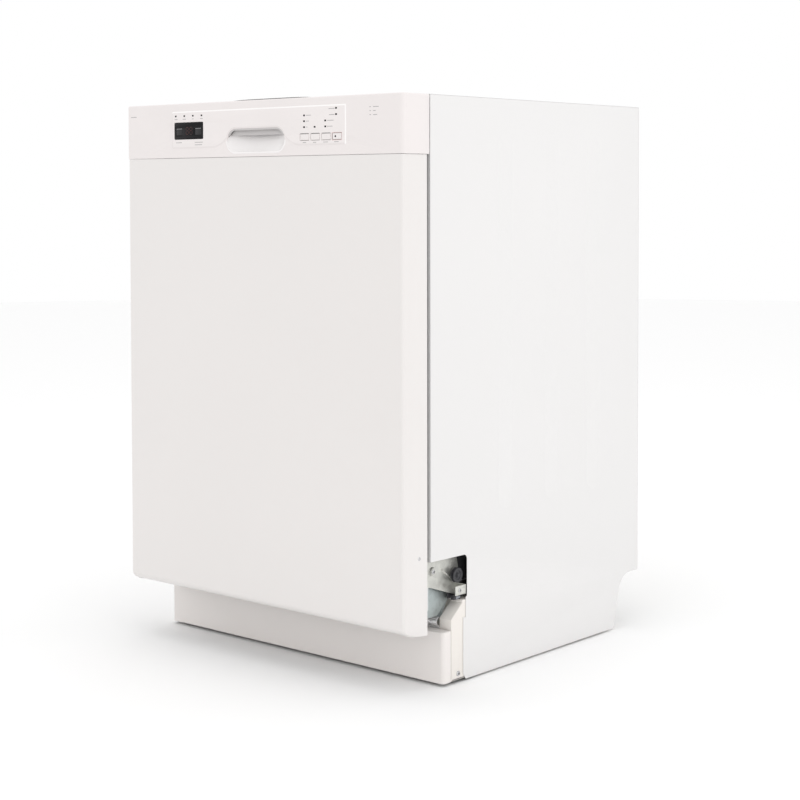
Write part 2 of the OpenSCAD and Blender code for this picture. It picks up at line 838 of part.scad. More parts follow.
module display_window() {
  lens_y = front_y + 0.5;
  color([0.02, 0.02, 0.025]) difference() {
    union() {
      box(window_x0 + 0.2, window_x1 - 0.2, lens_y, lens_y + 3.3, window_z0 + 0.2, window_z1 - 0.2);
      box(window_x0 - 4, window_x1 + 4, front_y + 3.7, front_y + 5.7, window_z0 - 4, window_z1 + 4);
    }
    for (x = [window_x0 + 14, window_x1 - 14])
      box(x - key_w / 2 - 0.3, x + key_w / 2 + 0.3, -320, -290, key_z - key_h / 2 - 0.3,
        key_z + key_h / 2 + 0.3);
  }
}

module key_cap(x) {
  color([0.05, 0.05, 0.055]) {
    box(x - key_w / 2, x + key_w / 2, front_y + 0.2, front_y + 6, key_z - key_h / 2,
      key_z + key_h / 2);
    box(x - 3, x + 3, front_y + 6, front_y + 9, key_z - 3, key_z + 3);
  }
}

module key_power() key_cap(window_x0 + 14);
module key_delay() key_cap(window_x1 - 14);

module programme_button(i) {
  x = button_x + i * button_pitch;
  color([0.93, 0.93, 0.92]) {
    box(x - button_w / 2, x + button_w / 2, front_y, front_y + 8, button_z - button_h / 2,
      button_z + button_h / 2);
    box(x - 2.5, x + 2.5, front_y + 8, front_y + 9, button_z - 2.5, button_z + 2.5);
  }
}

module button_1() programme_button(0);
module button_2() programme_button(1);
module button_3() programme_button(2);
module button_4() programme_button(3);

module control_board() {
  board_y = front_y + 13;
  color([0.1, 0.35, 0.2]) {
    box(-190, -100, board_y, board_y + 1.6, 800, 848);
    box(84, 196, board_y, board_y + 1.6, 800, 858);
    for (x = [window_x0 + 14, window_x1 - 14])
      box(x - 4, x + 4, board_y - 2.4, board_y, key_z - 4, key_z + 4);
    for (i = [0:3]) box(button_x + i * button_pitch - 4, button_x + i * button_pitch + 4,
      board_y - 2.4, board_y, button_z - 4, button_z + 4);
    box(90, 190, board_y + 1.6, board_y + 22, 835, 852);
  }
}

module handle_pocket() {
  t = 2;
  y1 = front_y + pocket_d;
  color([0.96, 0.96, 0.95]) {
    difference() {
      front_profile(front_y + 1, y1) translate([0, pocket_z]) stadium(pocket_w - 0.4, pocket_h - 0.4);
      front_profile(front_y, y1 - t) translate([0, pocket_z])
        stadium(pocket_w - 0.4 - 2 * t, pocket_h - 0.4 - 2 * t);
      box(-54, 54, front_y, -266, 815, 832);
    }
    front_profile(front_y + 3.8, front_y + 5.8) difference() {
      translate([0, pocket_z]) stadium(pocket_w + 8, pocket_h + 8);
      translate([0, pocket_z]) stadium(pocket_w - 1, pocket_h - 1);
      translate([-56, pocket_z + 8]) square([112, 30]);
    }
    both() {
      box(56, 60, front_y + 5, front_y + 22, 824, 838);
      xrod(2.5, 51, 56, front_y + 14, 832);
    }
  }
}

module latch_lever() {
  axis_y = front_y + 14;
  axis_z = 832;
  color([0.7, 0.7, 0.71]) difference() {
    union() {
      xrod(5, -55, 55, axis_y, axis_z);
      box(-50, 50, front_y + 5, front_y + 7.5, 816, 831);
      box(-50, 50, front_y + 5, axis_y, 828, 833);
      box(-50, 50, front_y + 5, front_y + 12, 815.5, 818);
      box(-9, 9, axis_y, -262, 834.5, 837);
      box(-9, 9, -271, -268.5, 836, 851);
      box(-9, 9, -270, -262, 849, 851);
    }
    both() xrod(2.5 + fit, 50, 57, axis_y, axis_z);
  }
}

module dispenser_body() {
  x0 = -84.5;
  x1 = 84.5;
  z0 = 345.5;
  z1 = 484.5;
  y1 = liner_y - 1;
  color([0.8, 0.81, 0.82]) {
    difference() {
      box(x0, x1, -276, y1, z0, z1);
      box(-74, -6, -272, y1 + 1, 400, 470);
      box(-76, 76, y1 - 5.2, y1 + 1, 398, 472);
      yrod(19.5, -262, y1 + 1, 46, 372);
    }
    difference() {
      box(x0 - 5, x1 + 5, liner_y - 4, liner_y - 2.5, z0 - 5, z1 + 5);
      box(x0 + 1, x1 - 1, liner_y - 5, liner_y, z0 + 1, z1 - 1);
    }
    yrod(6, -264, -254, 46, 372);
  }
}

module detergent_lid() {
  color([0.55, 0.57, 0.6]) {
    box(-75.5, -4, -254, -251, 398.5, 471.5);
    box(-20, -10, -251, -249.2, 410, 460);
  }
}

module rinse_cap() {
  color([0.3, 0.45, 0.7]) difference() {
    union() {
      yrod(19, -259.5, -252, 46, 372);
      box(30, 62, -252, -249.2, 369, 375);
    }
    yrod(6 + fit, -261, -253.5, 46, 372);
  }
}

module hinge_arms() {
  color([0.7, 0.72, 0.74]) both() {
    side_profile(arm_x, arm_x + plate_t - 0.5) difference() {
      union() {
        translate([hinge_y, hinge_z]) circle(13);
        translate([hinge_y - 13, hinge_z]) square([20, 150]);
        translate([hinge_y - 5, hinge_z + 26]) circle(9);
      }
      translate([hinge_y, hinge_z]) circle(hinge_pin_r + fit);
    }
    box(276, arm_x + 1, -274, -269, 200, 266);
  }
}

module door_screws() {
  head = 3.6;
  color([0.75, 0.75, 0.77]) both() {
    xrod(head, door_half, door_half + 0.8, -272, 200);
    for (z = [250, 560, 800]) yrod(head, liner_y, liner_y + 0.9, 262, z);
  }
}

// Rubber strip that bows up along the middle of the door's top edge.
module top_seal_strip() {
  crown = 3.8;
  strip_half = 104;
  ends = 0.5;
  steps = 16;
  top = [for (i = [-steps:steps]) [strip_half * i / steps,
    body_h + ends + (crown - ends) * (1 - pow(i / steps, 2))]];
  color([0.2, 0.2, 0.2]) front_profile(-274, -262)
    polygon(concat([[strip_half, body_h], [-strip_half, body_h]], top));
}

side_panel_left();
side_panel_right();
tub();
tub_gasket();
cross_braces();
latch_strike();
sound_blanket();
base_pan();
kickplate();
front_cross_member();
hinge_plates();
hinge_pins();
door_springs();
junction_box();
inlet_valve();
drain_pump();
wash_pump();
sump();
filter_plate();
heater();
water_column();
cabinet_screws();
cable_pulleys();
fine_filter();
float();
lower_spray_arm();
top_spray_arm();
front_foot_left();
front_foot_right();
rear_feet();
rail_rollers();
door_outer_panel();
door_liner();
control_panel();
display_window();
handle_pocket();
control_board();
dispenser_body();
hinge_arms();
door_screws();
top_seal_strip();
latch_lever();
button_1();
button_2();
button_3();
button_4();
key_power();
key_delay();
detergent_lid();
rinse_cap();
upper_rails();
upper_rack();
upper_rack_wheels();
upper_spray_arm();
cup_shelf();
lower_rack();
lower_wheels_front();
lower_wheels_rear();
fold_tines();
cutlery_basket();
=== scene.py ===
"""The looks of a built-in dishwasher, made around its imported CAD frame.

Shapes are worked out in millimetres in the frame's own axes (X to the right, Y to the back, Z up),
and each piece is scaled to metres when it is finished. Places come from the boxes of the CAD nodes.
"""
import math

import bmesh
import bpy
from mathutils import Matrix, Vector, noise


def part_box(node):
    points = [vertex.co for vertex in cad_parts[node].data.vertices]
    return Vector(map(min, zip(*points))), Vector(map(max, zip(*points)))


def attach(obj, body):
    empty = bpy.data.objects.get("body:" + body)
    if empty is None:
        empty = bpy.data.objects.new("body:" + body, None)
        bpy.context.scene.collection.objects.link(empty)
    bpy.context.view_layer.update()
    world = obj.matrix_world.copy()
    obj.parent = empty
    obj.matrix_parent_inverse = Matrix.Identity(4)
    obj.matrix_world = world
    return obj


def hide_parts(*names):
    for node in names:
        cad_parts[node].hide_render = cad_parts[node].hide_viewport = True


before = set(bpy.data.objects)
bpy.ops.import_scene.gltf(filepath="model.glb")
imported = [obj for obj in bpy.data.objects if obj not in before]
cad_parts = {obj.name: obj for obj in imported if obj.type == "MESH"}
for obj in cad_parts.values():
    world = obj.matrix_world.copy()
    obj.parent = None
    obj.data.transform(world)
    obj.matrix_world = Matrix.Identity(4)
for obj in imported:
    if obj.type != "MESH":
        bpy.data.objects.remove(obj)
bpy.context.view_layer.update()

MM = 0.001
SMOOTH_ANGLE = math.radians(35)


def span(node):
    """The box of a CAD node in millimetres: x0, x1, y0, y1, z0, z1."""
    low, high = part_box(node)
    return [value / MM for pair in zip(low, high) for value in pair]


# ---------- materials ----------


class Graph:
    """A node material that is built from its Principled shader backwards."""

    def __init__(self, name, **sockets):
        self.material = bpy.data.materials.new(name)
        self.material.use_nodes = True
        self.tree = self.material.node_tree
        self.shader = self.tree.nodes["Principled BSDF"]
        for key, value in sockets.items():
            self.shader.inputs[key.replace("_", " ")].default_value = value
        self.place = self.tree.nodes.new("ShaderNodeTexCoord").outputs["Object"]

    def plug(self, socket, value):
        if isinstance(value, bpy.types.NodeSocket):
            self.tree.links.new(value, socket)
        else:
            socket.default_value = value

    def stretched(self, scale):
        mapping = self.tree.nodes.new("ShaderNodeMapping")
        self.plug(mapping.inputs["Vector"], self.place)
        mapping.inputs["Scale"].default_value = scale
        return mapping.outputs["Vector"]

    def noise(self, scale, detail=3.0, place=None):
        node = self.tree.nodes.new("ShaderNodeTexNoise")
        self.plug(node.inputs["Vector"], place or self.place)
        node.inputs["Scale"].default_value = scale
        node.inputs["Detail"].default_value = detail
        return node.outputs["Fac"]

    def cells(self, scale, place=None, output="Distance"):
        node = self.tree.nodes.new("ShaderNodeTexVoronoi")
        self.plug(node.inputs["Vector"], place or self.place)
        node.inputs["Scale"].default_value = scale
        return node.outputs[output]

    def bands(self, value, low, high, out_low, out_high):
        node = self.tree.nodes.new("ShaderNodeMapRange")
        self.plug(node.inputs["Value"], value)
        for key, number in (("From Min", low), ("From Max", high), ("To Min", out_low),
                            ("To Max", out_high)):
            node.inputs[key].default_value = number
        return node.outputs["Result"]

    def blend(self, factor, first, second):
        node = self.tree.nodes.new("ShaderNodeMix")
        node.data_type = "RGBA"
        self.plug(node.inputs[0], factor)
        for socket, color in ((node.inputs[6], first), (node.inputs[7], second)):
            self.plug(socket, (*color, 1) if isinstance(color, tuple) else color)
        return node.outputs[2]

    def color(self, value):
        self.plug(self.shader.inputs["Base Color"], value)

    def rough(self, value):
        self.plug(self.shader.inputs["Roughness"], value)

    def bump(self, height, distance_mm, strength=1.0):
        node = self.tree.nodes.new("ShaderNodeBump")
        self.plug(node.inputs["Height"], height)
        node.inputs["Distance"].default_value = distance_mm * MM
        node.inputs["Strength"].default_value = strength
        self.plug(self.shader.inputs["Normal"], node.outputs["Normal"])


def tint(color, factor):
    return tuple(min(1.0, part * factor) for part in color)


def enamel(name, color, rough=0.3):
    """Baked enamel on steel: faint orange peel, soft gloss, and a trace of wiping marks."""
    g = Graph(name, Coat_Weight=0.25, Coat_Roughness=0.12, Specular_IOR_Level=0.35)
    g.color(g.blend(g.noise(3.5, 4), tint(color, 0.985), tint(color, 1.012)))
    g.rough(g.bands(g.noise(9, 5), 0, 1, rough - 0.04, rough + 0.08))
    g.bump(g.noise(420, 2), 0.03, 0.35)
    return g.material


def moulded(name, color, rough=0.42, grain=1400, depth=0.025, shine=0.4):
    """Moulded plastic with a fine spark-eroded grain and slight flow mottling."""
    g = Graph(name, Specular_IOR_Level=shine)
    g.color(g.blend(g.noise(14, 5), tint(color, 0.97), tint(color, 1.02)))
    g.rough(g.bands(g.noise(40, 4), 0, 1, rough - 0.05, rough + 0.07))
    g.bump(g.noise(grain, 3), depth, 0.6)
    return g.material


def brushed(name, color, along, rough=0.28, metal=0.82):
    """Brushed steel: fine scratches along one axis, and soft smudges."""
    scale = [700.0, 700.0, 700.0]
    scale["xyz".index(along)] = 6.0
    g = Graph(name, Metallic=metal, Anisotropic=0.4)
    lines = g.noise(1.0, 4, g.stretched(scale))
    smudge = g.noise(7, 5)
    g.color(g.blend(g.bands(lines, 0.3, 0.7, 0, 1), tint(color, 0.9), tint(color, 1.06)))
    sum_node = g.tree.nodes.new("ShaderNodeMath")
    sum_node.operation = "ADD"
    g.plug(sum_node.inputs[0], g.bands(lines, 0.3, 0.7, rough - 0.06, rough + 0.06))
    g.plug(sum_node.inputs[1], g.bands(smudge, 0.35, 0.7, 0, 0.1))
    g.rough(sum_node.outputs[0])
    g.bump(lines, 0.005, 0.4)
    return g.material


def zinc(name, color):
    """Galvanised sheet with frosty spangles and dull patches."""
    g = Graph(name, Metallic=0.75)
    spangle = g.cells(150, output="Color")
    grey = g.tree.nodes.new("ShaderNodeRGBToBW")
    g.plug(grey.inputs[0], spangle)
    g.color(g.blend(grey.outputs[0], tint(color, 0.86), tint(color, 1.1)))
    g.rough(g.bands(grey.outputs[0], 0.1, 0.9, 0.34, 0.52))
    g.bump(g.noise(300, 3), 0.03, 0.4)
    return g.material


def rubber(name, color):
    g = Graph(name, Specular_IOR_Level=0.25)
    g.color(g.blend(g.bands(g.noise(60, 6), 0.35, 0.7, 0, 1), color, tint(color, 1.9)))
    g.rough(g.bands(g.noise(25, 4), 0.3, 0.7, 0.62, 0.85))
    g.bump(g.noise(900, 4), 0.05, 0.6)
    return g.material


def felt(name, color, fleck):
    """Pressed cotton felt: matted fibres with darker flecks."""
    g = Graph(name, Sheen_Weight=0.4, Roughness=0.95)
    fibres = g.noise(1.0, 6, g.stretched([260.0, 900.0, 420.0]))
    cross = g.noise(1.0, 6, g.stretched([900.0, 300.0, 200.0]))
    mat = g.blend(g.bands(fibres, 0.35, 0.65, 0, 1), tint(color, 0.82), tint(color, 1.08))
    g.color(g.blend(g.bands(cross, 0.6, 0.72, 0, 0.75), mat, fleck))
    height = g.tree.nodes.new("ShaderNodeMath")
    height.operation = "ADD"
    g.plug(height.inputs[0], fibres)
    g.plug(height.inputs[1], cross)
    g.bump(height.outputs[0], 0.8, 0.9)
    return g.material


def gloss(name, color, rough=0.07):
    """Polished dark lens with a few dust specks in its shine."""
    g = Graph(name, Specular_IOR_Level=0.12)
    g.color(g.blend(g.bands(g.noise(20, 3), 0.4, 0.7, 0, 1), color, tint(color, 1.5)))
    g.rough(g.bands(g.noise(60, 6), 0.45, 0.75, rough, rough + 0.12))
    g.bump(g.noise(30, 2), 0.02, 0.2)
    return g.material


def vinyl(name, color):
    """Dip-coated wire: thick glossy coating that pulls slightly uneven."""
    g = Graph(name, Coat_Weight=0.3, Coat_Roughness=0.2)
    g.color(g.blend(g.bands(g.noise(45, 4), 0.3, 0.7, 0, 1), tint(color, 0.93), tint(color, 1.05)))
    g.rough(g.bands(g.noise(30, 3), 0.3, 0.7, 0.3, 0.45))
    g.bump(g.noise(220, 3), 0.08, 0.5)
    return g.material


def plated(name, color, rough=0.25):
    """Bright plated steel with turning marks and small dull spots."""
    g = Graph(name, Metallic=1.0)
    g.color(g.blend(g.bands(g.noise(90, 5), 0.4, 0.7, 0, 1), color, tint(color, 0.72)))
    g.rough(g.bands(g.noise(200, 4), 0.3, 0.7, rough - 0.06, rough + 0.14))
    g.bump(g.noise(1800, 2), 0.01, 0.5)
    return g.material


def heated(name):
    """Heater tube: straw to blue heat tints on dull steel."""
    g = Graph(name, Metallic=0.9)
    patches = g.bands(g.noise(12, 3), 0.35, 0.65, 0, 1)
    g.color(g.blend(patches, (0.33, 0.27, 0.2), (0.2, 0.22, 0.27)))
    g.rough(g.bands(g.noise(80, 4), 0.3, 0.7, 0.35, 0.55))
    g.bump(g.noise(500, 3), 0.03, 0.4)
    return g.material


def punched(name, color, hole, pitch, metal):
    """Sheet or mesh with a regular field of small dark holes."""
    g = Graph(name, Metallic=metal, Roughness=0.35)
    parts = g.tree.nodes.new("ShaderNodeSeparateXYZ")
    g.plug(parts.inputs[0], g.place)
    waves = []
    for axis in ("X", "Y", "Z"):
        wave = g.tree.nodes.new("ShaderNodeMath")
        wave.operation = "COSINE"
        scaled = g.bands(parts.outputs[axis], 0, pitch, 0, math.tau)
        scaled.node.clamp = False
        g.plug(wave.inputs[0], scaled)
        waves.append(wave.outputs[0])
    total = waves[0]
    for other in waves[1:]:
        adder = g.tree.nodes.new("ShaderNodeMath")
        adder.operation = "ADD"
        g.plug(adder.inputs[0], total)
        g.plug(adder.inputs[1], other)
        total = adder.outputs[0]
    dots = g.bands(total, 0.6, 0.9, 0, 1)
    g.color(g.blend(dots, color, hole))
    g.bump(g.bands(total, 0.6, 0.9, 1, 0), 0.3, 0.6)
    return g.material


def board(name):
    """Green circuit board with a net of darker tracks under its lacquer."""
    g = Graph(name, Coat_Weight=0.6, Coat_Roughness=0.15, Roughness=0.4)
    tracks = g.bands(g.cells(260, output="Distance"), 0.28, 0.34, 0, 1)
    g.color(g.blend(tracks, (0.015, 0.09, 0.035), (0.03, 0.2, 0.07)))
    g.bump(tracks, 0.03, 0.5)
    return g.material


WHITE = enamel("white_enamel", (0.80, 0.772, 0.757))
SIDE_WHITE = enamel("side_enamel", (0.80, 0.79, 0.785), 0.36)
KICK_WHITE = enamel("toe_enamel", (0.84, 0.80, 0.775), 0.36)
FASCIA = moulded("fascia_plastic", (0.83, 0.785, 0.775), 0.36)
# Painted highlight and painted shade for the label plate's rim: one film, in a bright copy for the right and
# top edges and a darker copy for the bottom and left.
LABEL_EDGE_PAINTED_HIGHLIGHT = moulded("label_edge_painted_highlight", (0.97, 0.95, 0.94), 0.3)
LABEL_EDGE_PAINTED_SHADE = moulded("label_edge_painted_shade", (0.79, 0.745, 0.735), 0.3)
LABEL = moulded("label_film", (0.845, 0.80, 0.79), 0.3, 2200, 0.012)
# Painted light: the pocket white is a brighter copy of the fascia plastic, raised to stand in for light
# filling the scooped bowl.
POCKET_PAINTED_LIGHT = moulded("pocket_plastic_painted_light", (0.90, 0.875, 0.87), 0.3)
FLAP = moulded("flap_plastic", (0.56, 0.54, 0.535), 0.4)
# Grey for the printed dashes, also used as a painted shadow in the gap above each button.
GREY_PRINT_AND_GAP_SHADE = moulded("grey_print_and_painted_gap_shade", (0.40, 0.39, 0.39), 0.5)
RED_PRINT = moulded("red_print", (0.78, 0.58, 0.565), 0.5)
LAMP = gloss("dark_lamp", (0.008, 0.008, 0.009), 0.4)
GLASS = gloss("black_lens", (0.010, 0.010, 0.011))
KEY_BLACK = moulded("key_black", (0.012, 0.012, 0.014), 0.25, 1800, 0.01)
# Painted highlight: a grey for the strip along the top edge of each black key.
KEY_TOP_PAINTED_HIGHLIGHT = moulded("key_top_painted_highlight", (0.30, 0.30, 0.31), 0.3)
DIGIT = moulded("unlit_digits", (0.060, 0.012, 0.012), 0.35)
STEEL_X = brushed("tub_steel_across", (0.72, 0.725, 0.73), "x", 0.3)
STEEL_Z = brushed("liner_steel_up", (0.72, 0.725, 0.73), "z", 0.3)
RAIL_STEEL = brushed("rail_steel", (0.60, 0.61, 0.62), "y", 0.24)
ZINC = zinc("zinc_sheet", (0.66, 0.66, 0.62))
# Painted highlight and painted shade for the front beam: one galvanised sheet, in a bright, less metallic
# steel on its rolled lip and a darker zinc on the slanted sheet and cheeks.
LIP_PAINTED_HIGHLIGHT = brushed("lip_painted_highlight", (0.88, 0.88, 0.88), "x", 0.22, 0.5)
ZINC_PAINTED_SHADE = zinc("zinc_shadowed", (0.46, 0.51, 0.51))
RUBBER = rubber("black_rubber", (0.022, 0.022, 0.024))
STRIP = rubber("strip_rubber", (0.07, 0.065, 0.065))
FELT = felt("cotton_felt", (0.66, 0.64, 0.60), (0.16, 0.17, 0.22))
CREAM = moulded("cream_plastic", (0.86, 0.82, 0.775), 0.5, 900, 0.05)
PALE = moulded("pale_plastic", (0.74, 0.74, 0.71), 0.45)
DARK = moulded("dark_plastic", (0.045, 0.045, 0.05), 0.5, 900, 0.05)
MID_DARK = moulded("pump_grey", (0.11, 0.115, 0.125), 0.5, 900, 0.05)
GREY = moulded("grey_plastic", (0.30, 0.32, 0.35), 0.45)
ARM_GREY = moulded("arm_plastic", (0.40, 0.42, 0.45), 0.42)
BLUE = moulded("cap_blue_plastic", (0.05, 0.16, 0.42), 0.35)
VINYL = vinyl("rack_vinyl_coat", (0.36, 0.39, 0.43))
TINE_BLUE = vinyl("tine_vinyl_coat", (0.14, 0.22, 0.33))
SCREW = plated("screw_plating", (0.66, 0.66, 0.67))
SPRING = plated("spring_wire", (0.30, 0.31, 0.32), 0.35)
COPPER = plated("copper_wire", (0.62, 0.30, 0.16), 0.35)
HEAT = heated("heat_tinted_tube")
BOARD = board("circuit_board")
SIEVE = punched("punched_steel", (0.62, 0.63, 0.64), (0.05, 0.05, 0.05), 0.004, 0.9)
MESH_GREY = punched("fine_mesh", (0.40, 0.42, 0.45), (0.10, 0.10, 0.11), 0.0014, 0.0)
FLOOR = Graph("pale_floor", Roughness=0.9, Base_Color=(0.97, 0.97, 0.97, 1)).material


# ---------- shapes, in millimetres ----------


def block(x0, x1, y0, y1, z0, z1, r=0.5, steps=2):
    """Box with round edges."""
    shape = bmesh.new()
    bmesh.ops.create_cube(shape, size=1)
    size = Vector((x1 - x0, y1 - y0, z1 - z0))
    middle = Vector((x0 + x1, y0 + y1, z0 + z1)) / 2
    for v in shape.verts:
        v.co = middle + Vector([a * b for a, b in zip(v.co, size)])
    r = min(r, 0.45 * min(size))
    if r > 0:
        bmesh.ops.bevel(shape, geom=shape.edges[:], offset=r, segments=steps, profile=0.5, affect="EDGES")
    return shape


AXES = {"x": (0, 1, 2), "y": (1, 2, 0), "z": (2, 0, 1)}


def revolve(profile, centre, axis="z", sides=40, closed=False):
    """Turned shape: the profile is (radius, height along the axis) pairs."""
    shape = bmesh.new()
    main, first, second = AXES[axis]
    rings = []
    for radius, height in profile:
        ring = []
        for i in range(sides if radius > 1e-6 else 1):
            point = Vector(centre)
            point[main] += height
            point[first] += radius * math.cos(math.tau * i / sides)
            point[second] += radius * math.sin(math.tau * i / sides)
            ring.append(shape.verts.new(point))
        rings.append(ring)
    pairs = list(zip(rings, rings[1:])) + ([(rings[-1], rings[0])] if closed else [])
    for a, b in pairs:
        for i in range(sides):
            j = (i + 1) % sides
            corners = [a[i % len(a)], a[j % len(a)], b[j % len(b)], b[i % len(b)]]
            corners = list(dict.fromkeys(corners))
            if len(corners) > 2:
                shape.faces.new(corners)
    return shape


def disc_profile(radius, low, high, r=0.5, bore=0.0):
    """Profile of a plain wheel or pin with round rims, with a bore if one is given."""
    outer = [(radius - r, low), (radius, low + r), (radius, high - r), (radius - r, high)]
    return [(bore, low)] + outer + [(bore, high)]


def rod(radius, low, high, centre, axis, r=0.4, sides=24):
    return revolve(disc_profile(radius, low, high, r), centre, axis, sides)


def loft(loops, closed=True, cap_start=False, cap_end=False, keep=None):
    """Skin over loops of equally many points. keep(middle of a face) says which faces are made."""
    shape = bmesh.new()
    rows = [[shape.verts.new(p) for p in loop] for loop in loops]
    count = len(rows[0])
    for a, b in zip(rows, rows[1:]):
        for i in range(count if closed else count - 1):
            j = (i + 1) % count
            corners = [a[i], a[j], b[j], b[i]]
            middle = sum((v.co for v in corners), Vector()) / 4
            if keep is None or keep(middle):
                shape.faces.new(corners)
    if cap_start:
        shape.faces.new(rows[0])
    if cap_end:
        shape.faces.new(rows[-1])
    loose = [v for v in shape.verts if not v.link_faces]
    bmesh.ops.delete(shape, geom=loose, context="VERTS")
    return shape


def round_rect(x0, x1, z0, z1, r, steps=6):
    """Closed outline of a rectangle with round corners, as (x, z) pairs."""
    points = []
    for cx, cz, start in ((x1 - r, z1 - r, 0), (x0 + r, z1 - r, 90), (x0 + r, z0 + r, 180),
                          (x1 - r, z0 + r, 270)):
        for i in range(steps + 1):
            a = math.radians(start + 90 * i / steps)
            points.append((cx + r * math.cos(a), cz + r * math.sin(a)))
    return points


def circle(cx, cz, r, steps=32):
    return [(cx + r * math.cos(math.tau * i / steps),
             cz + r * math.sin(math.tau * i / steps)) for i in range(steps)]


def arc(cx, cz, r, start, end, steps=8):
    angles = [math.radians(start + (end - start) * i / steps) for i in range(steps + 1)]
    return [(cx + r * math.cos(a), cz + r * math.sin(a)) for a in angles]


def area(loop):
    return sum(a[0] * b[1] - b[0] * a[1] for a, b in zip(loop, loop[1:] + loop[:1])) / 2


PLANES = {
    "front": Matrix(((1, 0, 0, 0), (0, 0, -1, 0), (0, 1, 0, 0), (0, 0, 0, 1))),
    "side": Matrix(((0, 0, 1, 0), (1, 0, 0, 0), (0, 1, 0, 0), (0, 0, 0, 1))),
    "floor": Matrix.Identity(4),
}


def curve_shape(curve):
    holder = bpy.data.objects.new("holder", curve)
    bpy.context.scene.collection.objects.link(holder)
    graph = bpy.context.evaluated_depsgraph_get()
    mesh = bpy.data.meshes.new_from_object(holder.evaluated_get(graph))
    shape = bmesh.new()
    shape.from_mesh(mesh)
    bpy.data.objects.remove(holder)
    bpy.data.curves.remove(curve)
    bpy.data.meshes.remove(mesh)
    return shape


def plate(plane, low, high, outline, holes=(), r=0.3):
    """Flat plate with holes and round rims, between two levels across a plane.

    The outline's pairs are (x, z) on the front plane, (y, z) on the side plane and (x, y) on the floor.
    """
    curve = bpy.data.curves.new("plate", "CURVE")
    curve.dimensions = "2D"
    curve.fill_mode = "BOTH"
    curve.extrude = (high - low) / 2 - r
    curve.bevel_depth = r
    curve.bevel_resolution = 1
    curve.offset = -r
    for i, loop in enumerate([outline, *holes]):
        loop = list(loop)
        if (area(loop) > 0) != (i == 0):
            loop.reverse()
        spline = curve.splines.new("POLY")
        spline.points.add(len(loop) - 1)
        spline.use_cyclic_u = True
        for point, (u, v) in zip(spline.points, loop):
            point.co = (u, v, 0, 1)
    shape = curve_shape(curve)
    level = (low + high) / 2 * (-1 if plane == "front" else 1)
    shape.transform(PLANES[plane] @ Matrix.Translation((0, 0, level)))
    bmesh.ops.remove_doubles(shape, verts=shape.verts, dist=1e-3)
    return shape


def wires(paths, radius, closed=False, resolution=2):
    """Round wires along lists of points."""
    curve = bpy.data.curves.new("wires", "CURVE")
    curve.dimensions = "3D"
    curve.bevel_depth = radius
    curve.bevel_resolution = resolution
    curve.use_fill_caps = True
    for path in paths:
        spline = curve.splines.new("POLY")
        spline.points.add(len(path) - 1)
        spline.use_cyclic_u = closed
        for point, place in zip(spline.points, path):
            point.co = (*place, 1)
    return curve_shape(curve)


def bent(points, radius, steps=4, closed=False):
    """A path whose inner corners are rounded."""
    points = [Vector(p) for p in points]
    result = [] if closed else [points[0]]
    count = len(points)
    for i in range(0 if closed else 1, count if closed else count - 1):
        before, corner, after = points[i - 1], points[i], points[(i + 1) % count]
        back = (before - corner).normalized()
        ahead = (after - corner).normalized()
        reach = min(radius, (before - corner).length / 2, (after - corner).length / 2)
        start, end = corner + back * reach, corner + ahead * reach
        for k in range(steps + 1):
            t = k / steps
            result.append(start.lerp(corner, t).lerp(corner.lerp(end, t), t))
    if not closed:
        result.append(points[-1])
    return result


def helix(axis_x, axis_z, y0, y1, radius, turns, per_turn=10):
    steps = int(turns * per_turn)
    path = []
    for i in range(steps + 1):
        a = math.tau * i / per_turn
        path.append((axis_x + radius * math.cos(a), y0 + (y1 - y0) * i / steps,
                     axis_z + radius * math.sin(a)))
    return path


def modified(shape, kind, others=(), **settings):
    """The shape after one modifier. Others are shapes that a Boolean takes out."""
    objects = []
    for source in (shape, *others):
        mesh = bpy.data.meshes.new("work")
        source.to_mesh(mesh)
        source.free()
        objects.append(bpy.data.objects.new("work", mesh))
        bpy.context.scene.collection.objects.link(objects[-1])
    for other in objects[1:] or [None]:
        modifier = objects[0].modifiers.new("work", kind)
        for key, value in settings.items():
            setattr(modifier, key, value)
        if other:
            modifier.object = other
    graph = bpy.context.evaluated_depsgraph_get()
    mesh = bpy.data.meshes.new_from_object(objects[0].evaluated_get(graph))
    result = bmesh.new()
    result.from_mesh(mesh)
    for o in objects:
        work = o.data
        bpy.data.objects.remove(o)
        bpy.data.meshes.remove(work)
    bpy.data.meshes.remove(mesh)
    return result


def thick(shape, thickness, offset=-1.0):
    bmesh.ops.recalc_face_normals(shape, faces=shape.faces)
    return modified(shape, "SOLIDIFY", thickness=thickness, offset=offset, use_even_offset=True)


def cut(shape, *others):
    return modified(shape, "BOOLEAN", others, operation="DIFFERENCE", solver="EXACT")


def softened(shape, width, steps=2):
    return modified(shape, "BEVEL", width=width, segments=steps, limit_method="ANGLE",
                    angle_limit=math.radians(50))


def mirrored(shape):
    for v in shape.verts:
        v.co.x = -v.co.x
    bmesh.ops.reverse_faces(shape, faces=shape.faces)
    return shape


def turned(shape, degrees, axis, centre):
    about = Matrix.Translation(centre) @ Matrix.Rotation(math.radians(degrees), 4, axis)
    shape.transform(about @ Matrix.Translation(-Vector(centre)))
    return shape


def pan(half, back, corner, levels, columns=(), cap=False, keep=None, left_corner=None):
    """Pressed front with two side returns: a U-shaped section along (front, z, inset) levels."""
    loops = []
    for front, z, inset in levels:
        x = half - inset
        left, right = [], []
        for side, points, radius in ((-1, left, left_corner or corner), (1, right, corner)):
            r = max(0.2, min(radius - inset, back - front))
            points.append((side * x, back, z))
            points += [(-side * px, py, z) for px, py in arc(-x + r, front + r, r, 180, 270, 6)]
        right.reverse()
        middle = [(c, front, z) for c in columns]
        loops.append(left + middle + right)
    return loft(loops, closed=False, cap_end=cap, keep=keep)


